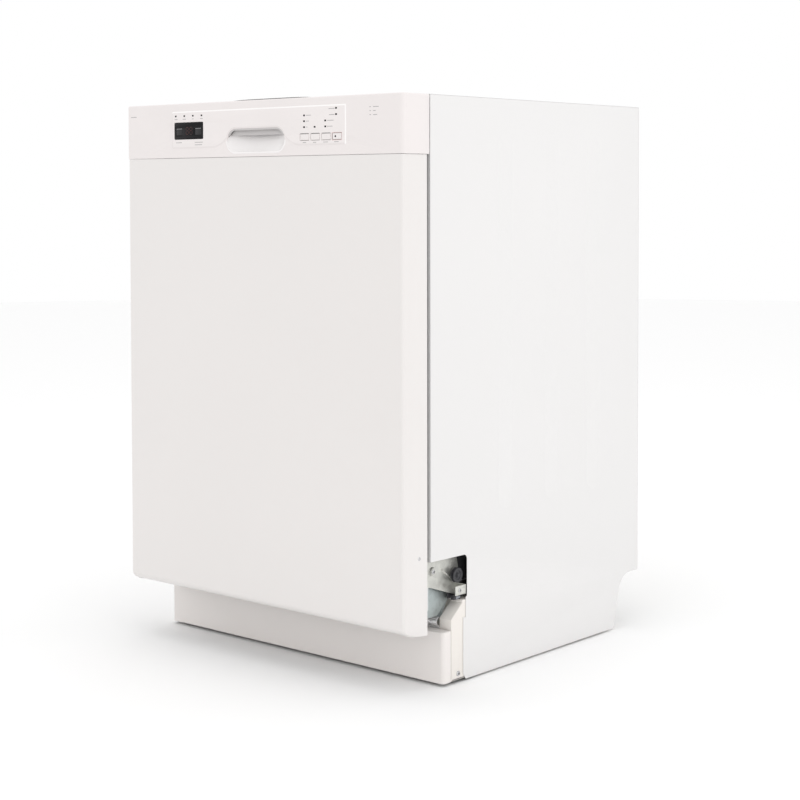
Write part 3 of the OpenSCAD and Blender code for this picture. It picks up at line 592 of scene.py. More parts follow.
class Piece:
    """Gathers shapes into one object that rides on a body, and keeps the name of its material slot."""

    def __init__(self, name, body, slot, *replaced):
        self.name, self.body, self.slot, self.replaced = name, body, slot, replaced
        self.mesh = bmesh.new()
        self.materials = []

    def add(self, shape, material):
        if material not in self.materials:
            self.materials.append(material)
        for face in shape.faces:
            face.material_index = self.materials.index(material)
        part = bpy.data.meshes.new("part")
        shape.to_mesh(part)
        shape.free()
        self.mesh.from_mesh(part)
        bpy.data.meshes.remove(part)
        return self

    def done(self):
        bmesh.ops.scale(self.mesh, vec=(MM, MM, MM), verts=self.mesh.verts)
        bmesh.ops.recalc_face_normals(self.mesh, faces=self.mesh.faces)
        mesh = bpy.data.meshes.new(self.name)
        self.mesh.to_mesh(mesh)
        self.mesh.free()
        for material in self.materials:
            mesh.materials.append(material)
        mesh.shade_smooth()
        mesh.set_sharp_from_angle(angle=SMOOTH_ANGLE)
        made = bpy.data.objects.new(self.name, mesh)
        bpy.context.scene.collection.objects.link(made)
        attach(made, self.body)
        if self.replaced:
            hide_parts(*self.replaced)
        return made


def screw_head(x, y, z, axis, radius, sign=1):
    """Pan head with a cross recess, standing from a face along +-axis."""
    height = 0.42 * radius
    profile = [(0, -0.5), (radius * 0.9, -0.5), (radius, 0), (radius * 0.96, height * 0.5),
               (radius * 0.75, height * 0.85), (radius * 0.4, height), (0, height)]
    head = revolve([(r, h * sign) for r, h in profile], (x, y, z), axis, 24)
    arm, deep = radius * 0.55, radius * 0.13
    bars = []
    for first, second in ((arm, deep), (deep, arm)):
        size = {"x": (height, first, second), "y": (first, height, second),
                "z": (first, second, height)}[axis]
        offset = {"x": (height, 0, 0), "y": (0, height, 0), "z": (0, 0, height)}[axis]
        c = [v + sign * o for v, o in zip((x, y, z), offset)]
        bars.append(block(c[0] - size[0], c[0] + size[0], c[1] - size[1], c[1] + size[1],
                          c[2] - size[2], c[2] + size[2], 0))
    return cut(head, *bars)


# ---------- door ----------

DOOR = span("door_outer_panel")
PANEL = span("control_panel")
PANEL_TOP = PANEL[5]
FACE_Y = PANEL[2] + 0.65
BACK_OF_DOOR = DOOR[3]
HINGE_NOTCH = (276.5, 292.5)


def door_skin():
    x1, y0, z0, z1 = DOOR[1], DOOR[2], DOOR[4], DOOR[5]
    bend_z, bend_r = 105, 12
    levels = [(y0, z1, 0), (y0, bend_z, 0)]
    levels += [(y, z, 0) for y, z in arc(y0 + bend_r, bend_z, bend_r, 180, 245, 6)[1:]]
    levels += [(-296, 92, 0), (-283, 88, 0), (-281, 87.7, 0), (-262, z0, 0), (-258, z0, 0)]
    notch0, notch1 = HINGE_NOTCH

    def keep(middle):
        low = middle.z < 93 and middle.y > -296
        return not (low and (notch0 < abs(middle.x) < notch1 or (abs(middle.x) < notch0 and middle.y > -281)))

    shape = pan(x1, BACK_OF_DOOR, 4.5, levels, (-notch1, -notch0, 0, notch0, notch1), keep=keep)
    piece = Piece("door_skin", "door", "white_steel", "door_outer_panel")
    piece.add(thick(shape, 0.8), WHITE)
    piece.done()


def stadium(width, height, cz, steps=20):
    r = height / 2
    half = width / 2 - r
    return arc(half, cz, r, -90, 90, steps) + arc(-half, cz, r, 90, 270, steps)


POCKET_BOX = span("handle_pocket")
POCKET_W, POCKET_H, POCKET_Z = 125, 36, 809
WINDOW = (-183.5, -116.5, 813, 840)
BUTTONS = [span(f"button_{i}") for i in range(1, 5)]


def fascia():
    x1, y1, z0 = PANEL[1], PANEL[3], PANEL[4]
    edge = 2.5
    levels = [(FACE_Y + 0.5, z0, 0.5), (FACE_Y, z0 + 0.6, 0)]
    for i in range(6):
        a = math.radians(90 * i / 5)
        inset = edge * (1 - math.cos(a))
        levels.append((FACE_Y + inset, PANEL_TOP - edge + edge * math.sin(a), inset))
    shape = thick(pan(x1, y1, 8, levels, (0,), cap=True, left_corner=3.4), 2.8)
    depth = (FACE_Y - 6, FACE_Y + 9)
    cutters = [plate("front", *depth, stadium(POCKET_W, POCKET_H, POCKET_Z), r=0)]
    cutters.append(plate("front", *depth, round_rect(*WINDOW, 2.2), r=0))
    for b in BUTTONS:
        hole = round_rect(b[0] - 0.5, b[1] + 0.5, b[4] - 0.5, b[5] + 0.5, 0.8)
        cutters.append(plate("front", *depth, hole, r=0))
    piece = Piece("fascia", "door", "white_plastic", "control_panel")
    piece.add(softened(cut(shape, *cutters), 0.5), FASCIA)
    for side in (-1, 1):
        piece.add(screw_head(side * 150, -279, PANEL_TOP - 2.6, "z", 3.4), SCREW)
    piece.done()


PLATE_Y = PANEL[2] + 0.08


def inner_outline(points, inset):
    """A closed outline moved inwards by the inset."""
    turn = 1 if area(points) > 0 else -1
    result = []
    count = len(points)
    for i, point in enumerate(points):
        here = Vector(point)
        before = (here - Vector(points[i - 1])).normalized()
        after = (Vector(points[(i + 1) % count]) - here).normalized()
        along = (before + after).normalized()
        stretch = 1 / max(0.5, along.dot(after))
        result.append(tuple(here + Vector((-along.y, along.x)) * turn * inset * stretch))
    return result


def label_plate():
    """Film-covered plate on the fascia, notched round the handle pocket."""
    x0, x1, z0, z1 = -189.5, 188.5, 799, 857.5
    sweep_x, sweep_r = 97, 48.4
    meet = math.degrees(math.asin((847.4 - 812) / sweep_r))
    rim = POCKET_H / 2 + 0.6
    half = (POCKET_W - POCKET_H) / 2
    climb = arc(-sweep_x, z0 + sweep_r, sweep_r, -90, -meet, 8)
    over = arc(-half, POCKET_Z, rim, 170, 90, 8) + arc(half, POCKET_Z, rim, 90, 10, 8)
    drop = [(-x, z) for x, z in reversed(climb)]
    corner = 2.5
    outline = arc(x0 + corner, z0 + corner, corner, 180, 270, 4) + climb + over + drop
    outline += arc(x1 - corner, z0 + corner, corner, -90, 0, 4) + arc(x1 - corner, z1 - corner, corner, 0,
                                                                      90, 4)
    outline += arc(x0 + corner, z1 - corner, corner, 90, 180, 4)
    holes = [round_rect(WINDOW[0] - 0.3, WINDOW[1] + 0.3, WINDOW[2] - 0.3, WINDOW[3] + 0.3, 2.4)]
    holes += [round_rect(b[0] - 0.7, b[1] + 0.7, b[4] - 0.7, b[5] + 0.7, 1) for b in BUTTONS]
    piece = Piece("label_plate", "door", "white_plastic")
    piece.add(plate("front", PLATE_Y, FACE_Y + 0.3, inner_outline(outline, 2.0), holes, r=0.05), LABEL)
    rim = [[(x, FACE_Y + 0.05, z) for x, z in outline],
           [(x, FACE_Y - 0.35, z) for x, z in inner_outline(outline, 0.35)],
           [(x, PLATE_Y + 0.1, z) for x, z in inner_outline(outline, 1.3)],
           [(x, PLATE_Y + 0.01, z) for x, z in inner_outline(outline, 2.1)]]
    # The rim's right and top faces get the painted highlight, its bottom and left faces the painted shade.
    for shade, keep in ((LABEL_EDGE_PAINTED_HIGHLIGHT, lambda m: m.x > x1 - 3 or m.z > z1 - 3),
                        (LABEL_EDGE_PAINTED_SHADE, lambda m: m.x <= x1 - 3 and m.z <= z1 - 3)):
        piece.add(loft(rim, keep=keep), shade)
    piece.done()


LAMPS = [(x, 850) for x in (-180, -160, -140, -120)] + [(169, 852), (169, 843), (104, 843), (104, 834.4),
         (104, 825.6), (125.7, 825.5), (147.3, 834.3), (147.3, 825.6)]
# Short dashes that stand where small labels are: left end, right end, height.
DASHES = [(-183, -176, 845), (-164, -156, 845), (-142, -138, 845), (-123, -117, 845), (-180, -166, 808),
          (-136, -117, 808), (-136, -119, 804), (154, 166, 851.5), (155, 166, 842.5), (108, 118, 843),
          (108, 114, 834.4), (108, 111, 825.6), (151, 164, 834.3), (151, 162, 825.6), (101, 108, 802.7),
          (122, 129, 802.7), (143, 153, 802.7), (165, 174, 802.7), (234, 237, 851.5), (241, 252, 851.5),
          (234, 237, 845.8), (241, 246, 845.8), (234, 237, 840), (241, 249, 840), (-290, -276, 851.5)]


def panel_print_and_painted_shade():
    piece = Piece("panel_marks", "door", "display_glass")
    for x, z in LAMPS:
        y = PLATE_Y
        piece.add(block(x - 1.9, x + 1.9, y - 0.06, y + 0.4, z - 1.35, z + 1.35, 0.4, 3), LAMP)
    for x0, x1, z in DASHES:
        y = (PLATE_Y if abs(x0) < 190 else FACE_Y) - 0.04
        piece.add(block(x0, x1, y, y + 0.3, z - 0.55, z + 0.55, 0.1, 1), GREY_PRINT_AND_GAP_SHADE)
    b = BUTTONS[3]
    frame_outline = round_rect(b[0] - 1.3, b[1] + 1.3, b[4] - 1.2, b[5] + 1.2, 1.2)
    frame_hole = round_rect(b[0] - 0.7, b[1] + 0.7, b[4] - 0.6, b[5] + 0.6, 0.9)
    piece.add(plate("front", PLATE_Y - 0.05, FACE_Y, frame_outline, [frame_hole], r=0.02), RED_PRINT)
    # A grey strip over the top of each button is a painted shadow in its gap.
    for b in BUTTONS:
        piece.add(block(b[0] + 0.4, b[1] - 0.4, PLATE_Y - 0.04, FACE_Y, b[5] + 0.55, b[5] + 1.25, 0.1, 1),
                  GREY_PRINT_AND_GAP_SHADE)
    piece.done()


def buttons():
    for i, b in enumerate(BUTTONS):
        x0, x1, y0, y1, z0, z1 = b
        piece = Piece(f"button_cap_{i + 1}", f"button_{i + 1}", "white_plastic", f"button_{i + 1}")
        piece.add(block(x0, x1, y0 + 0.1, y1 - 1, z0, z1, 0.9, 3), FASCIA)
        piece.add(block((x0 + x1) / 2 - 2.5, (x0 + x1) / 2 + 2.5, y1 - 1.5, y1, (z0 + z1) / 2 - 2.5,
                        (z0 + z1) / 2 + 2.5, 0.4), FASCIA)
        if i == 3:
            lamp = (x0 + 6, y0 + 0.12, (z0 + z1) / 2)
            piece.add(revolve([(0, -0.1), (1.4, -0.06), (1.9, 0.1), (0, 0.3)], lamp, "y", 20), LAMP)
        piece.done()


def display():
    x0, x1, z0, z1 = WINDOW
    keys = [span("key_power"), span("key_delay")]
    key_z0, key_z1 = 819.5, 830.5
    # Each key is 14 mm wide, held against the window's outer half of its CAD cap.
    shown = [(keys[0][0] + 0.4, keys[0][0] + 14.4), (keys[1][1] - 16.4, keys[1][1] - 2.4)]
    holes = [round_rect(a - 0.25, b + 0.25, key_z0 - 0.25, key_z1 + 0.25, 0.6) for a, b in shown]
    piece = Piece("display_lens", "door", "display_glass", "display_window")
    outline = round_rect(x0 + 0.15, x1 - 0.15, z0 + 0.15, z1 - 0.15, 2)
    piece.add(plate("front", PLATE_Y - 0.02, FACE_Y + 3.2, outline, holes, r=0.45), GLASS)
    piece.add(block(x0 - 4, x1 + 4, FACE_Y + 3.2, FACE_Y + 5, z0 - 4, z1 + 4, 0.4), DARK)
    digit_z, digit_h, digit_w = 821, 11, 5.6
    for left in (-156, -147.5):
        bars = [(0, 0), (0, digit_h / 2), (0, digit_h)]
        for dx, dz in bars:
            piece.add(block(left + dx + 0.8, left + digit_w - 0.8, PLATE_Y - 0.06, FACE_Y,
                            digit_z + dz - 0.5,
                            digit_z + dz + 0.5, 0.1, 1), DIGIT)
        for dx in (0, digit_w):
            for dz in (0, digit_h / 2):
                piece.add(block(left + dx - 0.5, left + dx + 0.5, PLATE_Y - 0.06, FACE_Y,
                                digit_z + dz + 0.8,
                                digit_z + dz + digit_h / 2 - 0.8, 0.1, 1), DIGIT)
    piece.done()
    for name, (a, b), box in zip(("power", "delay"), shown, keys):
        piece = Piece(f"{name}_key_cap", f"key_{name}", "display_glass", f"key_{name}")
        piece.add(block(a, b, PLATE_Y - 0.04, box[3] - 3, key_z0, key_z1, 0.7, 3), KEY_BLACK)
        # A grey strip along the key's top edge is a painted highlight.
        piece.add(block(a + 0.5, b - 0.5, PLATE_Y - 0.08, FACE_Y, key_z1 - 1.2, key_z1 - 0.2, 0.25, 2),
                  KEY_TOP_PAINTED_HIGHLIGHT)
        middle = (box[0] + box[1]) / 2
        piece.add(block(middle - 3, middle + 3, box[3] - 3.5, box[3], 823.5, 829.5, 0.5), DARK)
        piece.done()


FLAP_Z = 816.5


def pocket_reach(x):
    """Half the pocket's height at a distance x from its middle."""
    r = POCKET_H / 2
    past = max(0.0, abs(x) - (POCKET_W / 2 - r))
    return math.sqrt(max(0.0, r * r - past * past))


def handle_bowl():
    """Scooped bowl under the latch flap, with a raised bead round its lower edge."""
    depth = POCKET_BOX[3] - POCKET_BOX[2] - 8
    columns, rows = 56, 12
    loops = []
    for i in range(columns + 1):
        a = math.pi * i / columns
        x = -math.cos(a) * (POCKET_W / 2 - 0.02)
        reach = pocket_reach(x)
        low, high = POCKET_Z - reach, min(POCKET_Z + reach, FLAP_Z + 2.5)
        far = 0.6 * depth * math.sqrt(max(0.0, 1 - abs(x / (POCKET_W / 2)) ** 3)) + 0.3
        out = Vector((x - max(-44.5, min(44.5, x)), -max(reach, 0.01))).normalized()
        line = []
        for bead_out, bead_y in ((2.6, 0.05), (2.0, -0.35), (1.2, -0.5), (0.5, -0.42)):
            line.append((x + out.x * bead_out, FACE_Y + bead_y, low + out.y * bead_out))
        for k in range(rows + 1):
            angle = math.pi / 2 * k / rows
            inwards, rise = math.sin(angle) ** 1.6, 1 - math.cos(angle) ** 1.6
            line.append((x, FACE_Y - 0.2 + far * inwards, low + (high - low) * rise))
        loops.append(line)
    piece = Piece("handle_bowl", "door", "white_plastic", "handle_pocket")
    # The bowl takes the brightened white, a painted light that offsets the shade in its hollow.
    piece.add(loft(loops, closed=False), POCKET_PAINTED_LIGHT)
    half = (POCKET_W - POCKET_H) / 2

    def crescent(r, reverse):
        """Arc of the pocket over the flap's lower edge, at one radius."""
        start = math.degrees(math.asin((FLAP_Z - POCKET_Z) / r))
        points = arc(half, POCKET_Z, r, start, 90, 12) + arc(-half, POCKET_Z, r, 90, 180 - start, 12)
        return points[::-1] if reverse else points

    brow = crescent(POCKET_H / 2 - 0.05, False) + crescent(POCKET_H / 2 - 2.8, True)
    piece.add(plate("front", FACE_Y + 0.15, FACE_Y + 0.9, brow, r=0.25), FLAP)
    shroud = crescent(POCKET_H / 2 - 0.1, False) + crescent(POCKET_H / 2 - 1.1, True)
    piece.add(plate("front", FACE_Y + 0.8, -298, shroud, r=0.2), FLAP)
    back = POCKET_BOX[3]
    piece.add(block(-52, 52, back - 6, back - 4.5, 812, 838, 0.5), POCKET_PAINTED_LIGHT)
    for side in (-1, 1):
        piece.add(block(side * 59 - 1.6, side * 59 + 1.6, POCKET_BOX[2] + 9, POCKET_BOX[2] + 22, 827.5, 837,
                        0.5), POCKET_PAINTED_LIGHT)
        piece.add(rod(2.5, -3.5, 3.5, (side * 55, -294, 832), "x"), POCKET_PAINTED_LIGHT)
    piece.done()


def latch_flap():
    x0, x1, y0, y1, _, z1 = span("latch_lever")
    r = POCKET_H / 2 - 2.2
    half = POCKET_W / 2 - POCKET_H / 2
    start = math.degrees(math.asin((FLAP_Z - POCKET_Z) / r))
    outline = arc(half, POCKET_Z, r, start, 90, 10) + arc(-half, POCKET_Z, r, 90, 180 - start, 10)
    piece = Piece("latch_flap", "latch_lever", "latch_grey", "latch_lever")
    front = y0
    piece.add(plate("front", front, front + 2, outline, r=0.4), FLAP)
    piece.add(block(-57.5, 57.5, front + 0.2, front + 7, FLAP_Z, FLAP_Z + 1.7, 0.7, 3), FLAP)
    piece.add(rod(4.6, x0 + 3, x1 - 3, (0, -294, 832), "x", 0.8, 32), FLAP)
    piece.add(block(-56, 56, front + 0.6, -294, 824.8, 829.5, 0.8, 3), FLAP)
    for x in (-40, -20, 20, 40):
        piece.add(block(x - 1, x + 1, front + 1, -294, 818, 829, 0.3), FLAP)
    piece.add(block(-9, 9, -294, y1 - 0.2, 834.6, 836.9, 0.6), FLAP)
    piece.add(block(-9, 9, -271, -268.6, 836, z1, 0.8), FLAP)
    piece.add(block(-9, 9, -270.5, y1, z1 - 2.2, z1, 0.8), FLAP)
    piece.done()


def top_strip():
    x0, x1, y0, y1, z0, z1 = span("top_seal_strip")
    crown, ends = z1 - z0, 0.5
    steps = 24
    loops = []
    for i in range(steps + 1):
        x = x0 + 0.3 + (x1 - x0 - 0.6) * i / steps
        top = ends + (crown - ends) * (1 - abs(x / x1) ** 5)
        loops.append([(x, y0 + 0.3, z0), (x, y0 + 0.2, z0 + top * 0.6), (x, y0 + 1.6, z0 + top * 0.95),
                      (x, (y0 + y1) / 2, z0 + top), (x, y1 - 1.6, z0 + top * 0.95),
                      (x, y1 - 0.2, z0 + top * 0.6),
                      (x, y1 - 0.3, z0)])
    piece = Piece("door_top_strip", "door", "rubber", "top_seal_strip")
    piece.add(loft(loops, cap_start=True, cap_end=True), STRIP)
    piece.done()


def door_fasteners():
    x1 = span("door_screws")[1]
    piece = Piece("door_screw_heads", "door", "screw_steel", "door_screws")
    liner_y = span("door_liner")[3]
    for side in (-1, 1):
        piece.add(screw_head(side * (x1 - 1.7), -272, 200, "x", 3.4, side), SCREW)
        for z in (250, 560, 800):
            piece.add(screw_head(side * 262, liner_y, z, "y", 3.4), SCREW)
    piece.done()


# ---------- cabinet outside ----------

SIDE = span("side_panel_right")
RIB_Y = (-69, 50, 163)


def pressed_rib(x, height, y, z0, z1, half):
    """Long pressed rib with round ends, as outlines that climb from its foot to its crown."""
    steps = 10
    loops = []
    for k in range(steps + 1):
        t = k / steps
        r = max(0.4, half * (1 - t))
        h = height * (0.5 - 0.5 * math.cos(math.pi * min(1.0, t * 1.5)))
        outline = arc(y, z1, r, 0, 180, 12) + arc(y, z0, r, 180, 360, 12)
        loops.append([(x + h, py, pz) for py, pz in outline])
    return loft(loops, cap_end=True)


def side_outline():
    y0, y1, z0, z1 = SIDE[2:]
    post_y, slot_y = -172, -163
    points = [(y0, z1), (y0, 191)] + arc(slot_y - 7, 183, 7, 90, 0, 6)
    points += [(slot_y, 127), (-166, 126), (-166, 96), (post_y, 96), (post_y, 12), (-166, z0), (226, z0)]
    points += arc(272, 60, 30, 170, 90, 8) + [(y1, 90), (y1, z1)]
    return points


def side_panels():
    """Painted side sheet with three pressed ribs and folded edges."""
    base = 0.6
    x = SIDE[1] - base
    for side, name in ((1, "right"), (-1, "left")):
        shapes = [plate("side", x - 0.8, x, side_outline(), r=0.15)]
        for y in RIB_Y:
            shapes.append(pressed_rib(x - 0.05, base - 0.05, y, 262, 804, 19))
        lip = 10
        y0, y1, z1 = SIDE[2], SIDE[3], SIDE[5]
        shapes.append(block(x - lip, x, y0, y0 + 0.9, 191, z1, 0.35))
        shapes.append(block(x - lip, x, y1 - 0.9, y1, 92, z1, 0.35))
        shapes.append(block(x - lip, x, y0, y1, z1 - 0.9, z1, 0.35))
        piece = Piece(f"side_sheet_{name}", "cabinet", "white_steel", f"side_panel_{name}")
        for shape in shapes:
            piece.add(shape if side > 0 else mirrored(shape), SIDE_WHITE)
        piece.done()


# How far the toe panel stops under its CAD top.
TOE_DROP = 3


def toe_panel():
    _, x1, y0, y1, z0, z1 = span("kickplate")
    z1 -= TOE_DROP
    edge = 2.0
    levels = [(y0 + 0.6, z0, 0.6), (y0, z0 + 0.8, 0)]
    for i in range(6):
        a = math.radians(90 * i / 5)
        inset = edge * (1 - math.cos(a))
        levels.append((y0 + inset, z1 - edge + edge * math.sin(a), inset))
    piece = Piece("toe_panel", "cabinet", "kick_paint", "kickplate")
    piece.add(thick(pan(x1, y1, 6, levels, (0,), cap=True), 1.2), KICK_WHITE)
    piece.done()


def cabinet_fasteners():
    half = span("side_panel_right")[1]
    piece = Piece("cabinet_screw_heads", "cabinet", "screw_steel", "cabinet_screws")
    brace_y = span("side_panel_right")[3] + 1.2
    for side in (-1, 1):
        piece.add(screw_head(side * (half - 1.6), -179, 138, "x", 3.4, side), SCREW)
        piece.add(screw_head(side * (half - 1.8), -183, 14, "x", 4, side), SCREW)
        piece.add(screw_head(side * 285.6, -227, 172, "x", 3.6, side), SCREW)
        for z in (806, 852, 125):
            piece.add(screw_head(side * 280, brace_y, z, "y", 4), SCREW)
    piece.done()


# ---------- tub and cabinet ----------


def both_sides(piece, material, make, *numbers, **settings):
    """Adds a shape on the right, and its mirror image on the left."""
    piece.add(make(*numbers, **settings), material)
    piece.add(mirrored(make(*numbers, **settings)), material)


def opening(half, z0, z1, low_r, high_r, steps=6):
    """Closed outline with smaller corners below and larger ones above."""
    points = []
    for cx, cz, r, start in ((half - high_r, z1 - high_r, high_r, 0),
                             (high_r - half, z1 - high_r, high_r, 90),
                             (low_r - half, z0 + low_r, low_r, 180),
                             (half - low_r, z0 + low_r, low_r, 270)):
        points += arc(cx, cz, r, start, start + 90, steps)
    return points


def at_depth(outline, y):
    return [(x, y, z) for x, z in outline]


def hoop(half, low, high, r, steps=8):
    """A path up, over and down, with its outward directions: (x, z, out x, out z)."""
    path = [(-half, low, -1, 0)]
    for cx, start in ((r - half, 180), (half - r, 90)):
        for i in range(steps + 1):
            a = math.radians(start - 90 * i / steps)
            path.append((cx + r * math.cos(a), high - r + r * math.sin(a), math.cos(a), math.sin(a)))
    return path + [(half, low, 1, 0)]


def along(path, profile):
    """A profile of (outward, y) pairs swept over a hoop."""
    rows = [[(x + ox * d, y, z + oz * d) for d, y in profile] for x, z, ox, oz in path]
    return loft(rows, cap_start=True, cap_end=True)


def across(half, profile, thickness):
    """Bent sheet of a (y, z) profile, running across the machine."""
    return thick(loft([[(x, y, z) for y, z in profile] for x in (-half, half)], closed=False), thickness, 0)


TUB_X, TUB_LOW, TUB_HIGH = 268, 124, 832
SPRAY_Y = 20


def tub():
    half, front, low, high = span("tub")[1], span("tub")[2], span("tub")[4], span("tub")[5]
    back = span("tub")[3] - 1.5
    inner = (TUB_X, TUB_LOW, TUB_HIGH, 8, 24)
    loops = [at_depth(opening(half, low, high, 8, 12), front + 4),
             at_depth(opening(half, low, high, 8, 12), front + 1),
             at_depth(opening(half - 0.7, low + 0.7, high - 0.7, 7, 12), front + 0.2),
             at_depth(opening(TUB_X + 2, TUB_LOW - 2, TUB_HIGH + 2, 9, 25), front + 0.2),
             at_depth(opening(TUB_X + 0.5, TUB_LOW - 0.5, TUB_HIGH + 0.5, 8, 24), front + 0.9)]
    for y in (front + 3, -80, 60, 180, back - 14):
        loops.append(at_depth(opening(*inner), y))
    for i in range(1, 6):
        a = math.radians(90 * i / 5)
        d = 14 * (1 - math.cos(a))
        loops.append(at_depth(opening(TUB_X - d, TUB_LOW + d, TUB_HIGH - d, 8, 24),
                              back - 14 + 14 * math.sin(a)))
    shape = thick(loft(loops, cap_end=True), 1.2, 1.0)
    hole = rod(112, -12, 12, (0, SPRAY_Y, TUB_LOW), "z", 0, 72)
    piece = Piece("tub_shell", "cabinet", "tub_steel", "tub")
    piece.add(cut(shape, hole), STEEL_X)
    for y in (-150, 190):
        both_sides(piece, STEEL_X, block, 244, 268, y - 1, y + 1, 131.6, 132, 0.1)
    both_sides(piece, STEEL_X, block, 244, 268.2, front + 1, back, 130.8, 132, 0.4)
    both_sides(piece, STEEL_X, block, 244, 245.3, front + 1, back, 124, 132, 0.4)
    for y in (-190, -60):
        both_sides(piece, SCREW, rod, 2.9, 257.2, 268.5, (0, y, 516), "x")
        both_sides(piece, STEEL_X, revolve,
                   [(0, 263.6), (5.2, 263.6), (5.9, 264.4), (8, 268.5), (0, 268.5)],
                   (0, y, 516), "x", 24)
    for x in (-120, 120):
        shell = [at_depth(round_rect(x - 34 + d, x + 34 - d, 200 + d, 760 - d, 16), back - h)
                 for d, h in ((0, 0.1), (3, 1.6), (7, 3.0), (10, 3.2))]
        piece.add(loft(shell, cap_end=True), STEEL_X)
    piece.done()


def tub_gasket():
    _, x1, y0, y1, z0, z1 = span("tub_gasket")
    middle = x1 - 5.5
    profile = [(-4.5, y1 - 0.2), (-5.3, y1 - 1), (-3.2, y1 - 3), (-5.2, y1 - 5), (-4.8, y0 + 3.2),
               (-2.6, y0 + 0.8),
               (0.4, y0 + 0.1), (3.2, y0 + 1.2), (4.9, y0 + 4), (5.2, y1 - 4.6), (3.6, y1 - 3),
               (5.3, y1 - 1),
               (4.5, y1 - 0.2)]
    piece = Piece("door_gasket", "cabinet", "rubber", "tub_gasket")
    piece.add(along(hoop(middle, z0 + 0.2, z1 - 5.5, 24, 10), profile), RUBBER)
    piece.done()


def lumpy(matrix, width, height, thickness, seed):
    """A soft sheet with a gently uneven surface."""
    shape = bmesh.new()
    bmesh.ops.create_grid(shape, x_segments=44, y_segments=44, size=0.5)
    for v in shape.verts:
        u, w = v.co.x * (width - 1), v.co.y * (height - 1)
        lift = noise.noise(Vector((u / 46, w / 46, seed))) * 1.1 + noise.noise(Vector((u / 15, w / 15,
                                                                                       seed))) * 0.5
        rim = min(1.0, (0.5 - max(abs(v.co.x), abs(v.co.y))) * 18)
        v.co = (u, w, (thickness - 2) * (0.45 + 0.35 * rim) + lift * rim)
    shape = thick(shape, (thickness - 2) * 0.75)
    shape.transform(matrix)
    return shape


def sound_blanket():
    x0, x1, y0, y1, z0, z1 = span("sound_blanket")
    deep, tall = y1 - y0, z1 - z0
    middle_y, middle_z = (y0 + y1) / 2, (z0 + z1) / 2
    piece = Piece("felt_blanket", "cabinet", "felt", "sound_blanket")
    right = Matrix.Translation((x1 - 7, middle_y, middle_z - 3)) @ Matrix.Rotation(math.radians(90), 4, "Y")
    left = Matrix.Translation((x0 + 7, middle_y, middle_z - 3)) @ Matrix.Rotation(math.radians(-90), 4, "Y")
    back = Matrix.Translation((0, y1 - 7, middle_z - 3)) @ Matrix.Rotation(math.radians(-90), 4, "X")
    top = Matrix.Translation((0, middle_y, z1 - 7))
    piece.add(lumpy(right, tall - 8, deep - 4, 7, 1.5), FELT)
    piece.add(lumpy(left, tall - 8, deep - 4, 7, 7.5), FELT)
    piece.add(lumpy(back, x1 - x0 - 2, tall - 8, 7, 13.5), FELT)
    piece.add(lumpy(top, x1 - x0, deep, 7, 19.5), FELT)
    for z in (300, 560, 800):
        piece.add(block(x0 - 0.2, x1 + 0.2, y1 - 0.8, y1, z - 9, z + 9, 0.3), PALE)
    for y in (-120, 60, 220):
        piece.add(block(x0 + 6, x1 - 6, y - 9, y + 9, z1 - 0.6, z1 + 0.1, 0.25), PALE)
    piece.done()


def cross_braces():
    _, _, _, y1, _, z1 = span("cross_braces")
    front = SIDE[2] + 2
    half = 286
    piece = Piece("top_braces", "cabinet", "galvanised", "cross_braces")
    slots = [round_rect(x - 30, x + 30, -224, -214, 5) for x in (-160, 160)]
    slots += [circle(s * 250, -234, 2.2, 16) for s in (-1, 1)] + [round_rect(-14, 14, front - 4, -228, 3)]
    outline = [(-half, front), (half, front), (half, -200), (-half, -200)]
    piece.add(plate("floor", 867.7, 869, outline, slots, r=0.3), ZINC)
    piece.add(plate("front", -201.2, -200, [(-half, 848), (half, 848), (half, 868.5), (-half, 868.5)],
                    [round_rect(x - 36, x + 36, 853, 860, 3) for x in (-180, 180)], r=0.3), ZINC)
    for side in (-1, 1):
        a, b = sorted((side * 30, side * half))
        piece.add(block(a, b, front, front + 1.2, 855, 868.5, 0.4), ZINC)
        a, b = sorted((side * 235, side * 265))
        piece.add(plate("floor", 868.6, z1, round_rect(a, b, front, -222, 4),
                        [circle(side * 250, -234, 2.2, 20)],
                        r=0.3), ZINC)
    rear = SIDE[3]
    holes = [circle(s * 280, z, 2, 12) for s in (-1, 1) for z in (806, 852)]
    holes += [round_rect(x - 40, x + 40, 816, 842, 10) for x in (-70, 70)]
    piece.add(plate("front", rear + 0.1, rear + 1.2, round_rect(-290, 290, 792, 866, 4), holes, r=0.3),
              ZINC)
    for z in (797, 861):
        rib = loft([[(x, rear + 0.6 + h, z - w), (x, rear + 0.6 + h, z + w)] for x, h, w in
                    ((-262, 0.4, 0.3), (-258, 2.4, 2.2), (258, 2.4, 2.2), (262, 0.4, 0.3))], closed=False)
        piece.add(thick(rib, 1.2, 0), ZINC)
    for side in (-1, 1):
        boss = [(3.1, rear + 1), (15, rear + 1), (15, rear + 1.6), (12.6, rear + 3), (12.6, y1 - 1.2),
                (11.6, y1),
                (4.6, y1), (3.1, y1 - 1.4)]
        piece.add(revolve([(r, y - rear) for r, y in boss], (side * 180, rear, 829), "y", 40, closed=True),
                  PALE)
    low = [circle(s * 280, 125, 2, 12) for s in (-1, 1)] + [round_rect(x - 50, x + 50, 115, 135,
                                                                       8) for x in (-130, 130)]
    piece.add(plate("front", rear + 0.1, rear + 1.2, round_rect(-290, 290, 100, 150, 4), low, r=0.3), ZINC)
    piece.done()


def latch_strike():
    piece = Piece("strike_bar", "cabinet", "screw_steel", "latch_strike")
    piece.add(plate("floor", 862.2, 864, round_rect(-20, 20, -228, -201.3, 2), [circle(0, -212, 3, 16)],
                    r=0.4), SCREW)
    piece.add(plate("front", -229.4, -228, round_rect(-20, 20, 850, 867, 3), [], r=0.4), SCREW)
    path = bent([(-12, -229, 857), (-12, -263.9, 857), (12, -263.9, 857), (12, -229, 857)], 5, 6)
    piece.add(wires([path], 2.45, resolution=3), SCREW)
    piece.done()


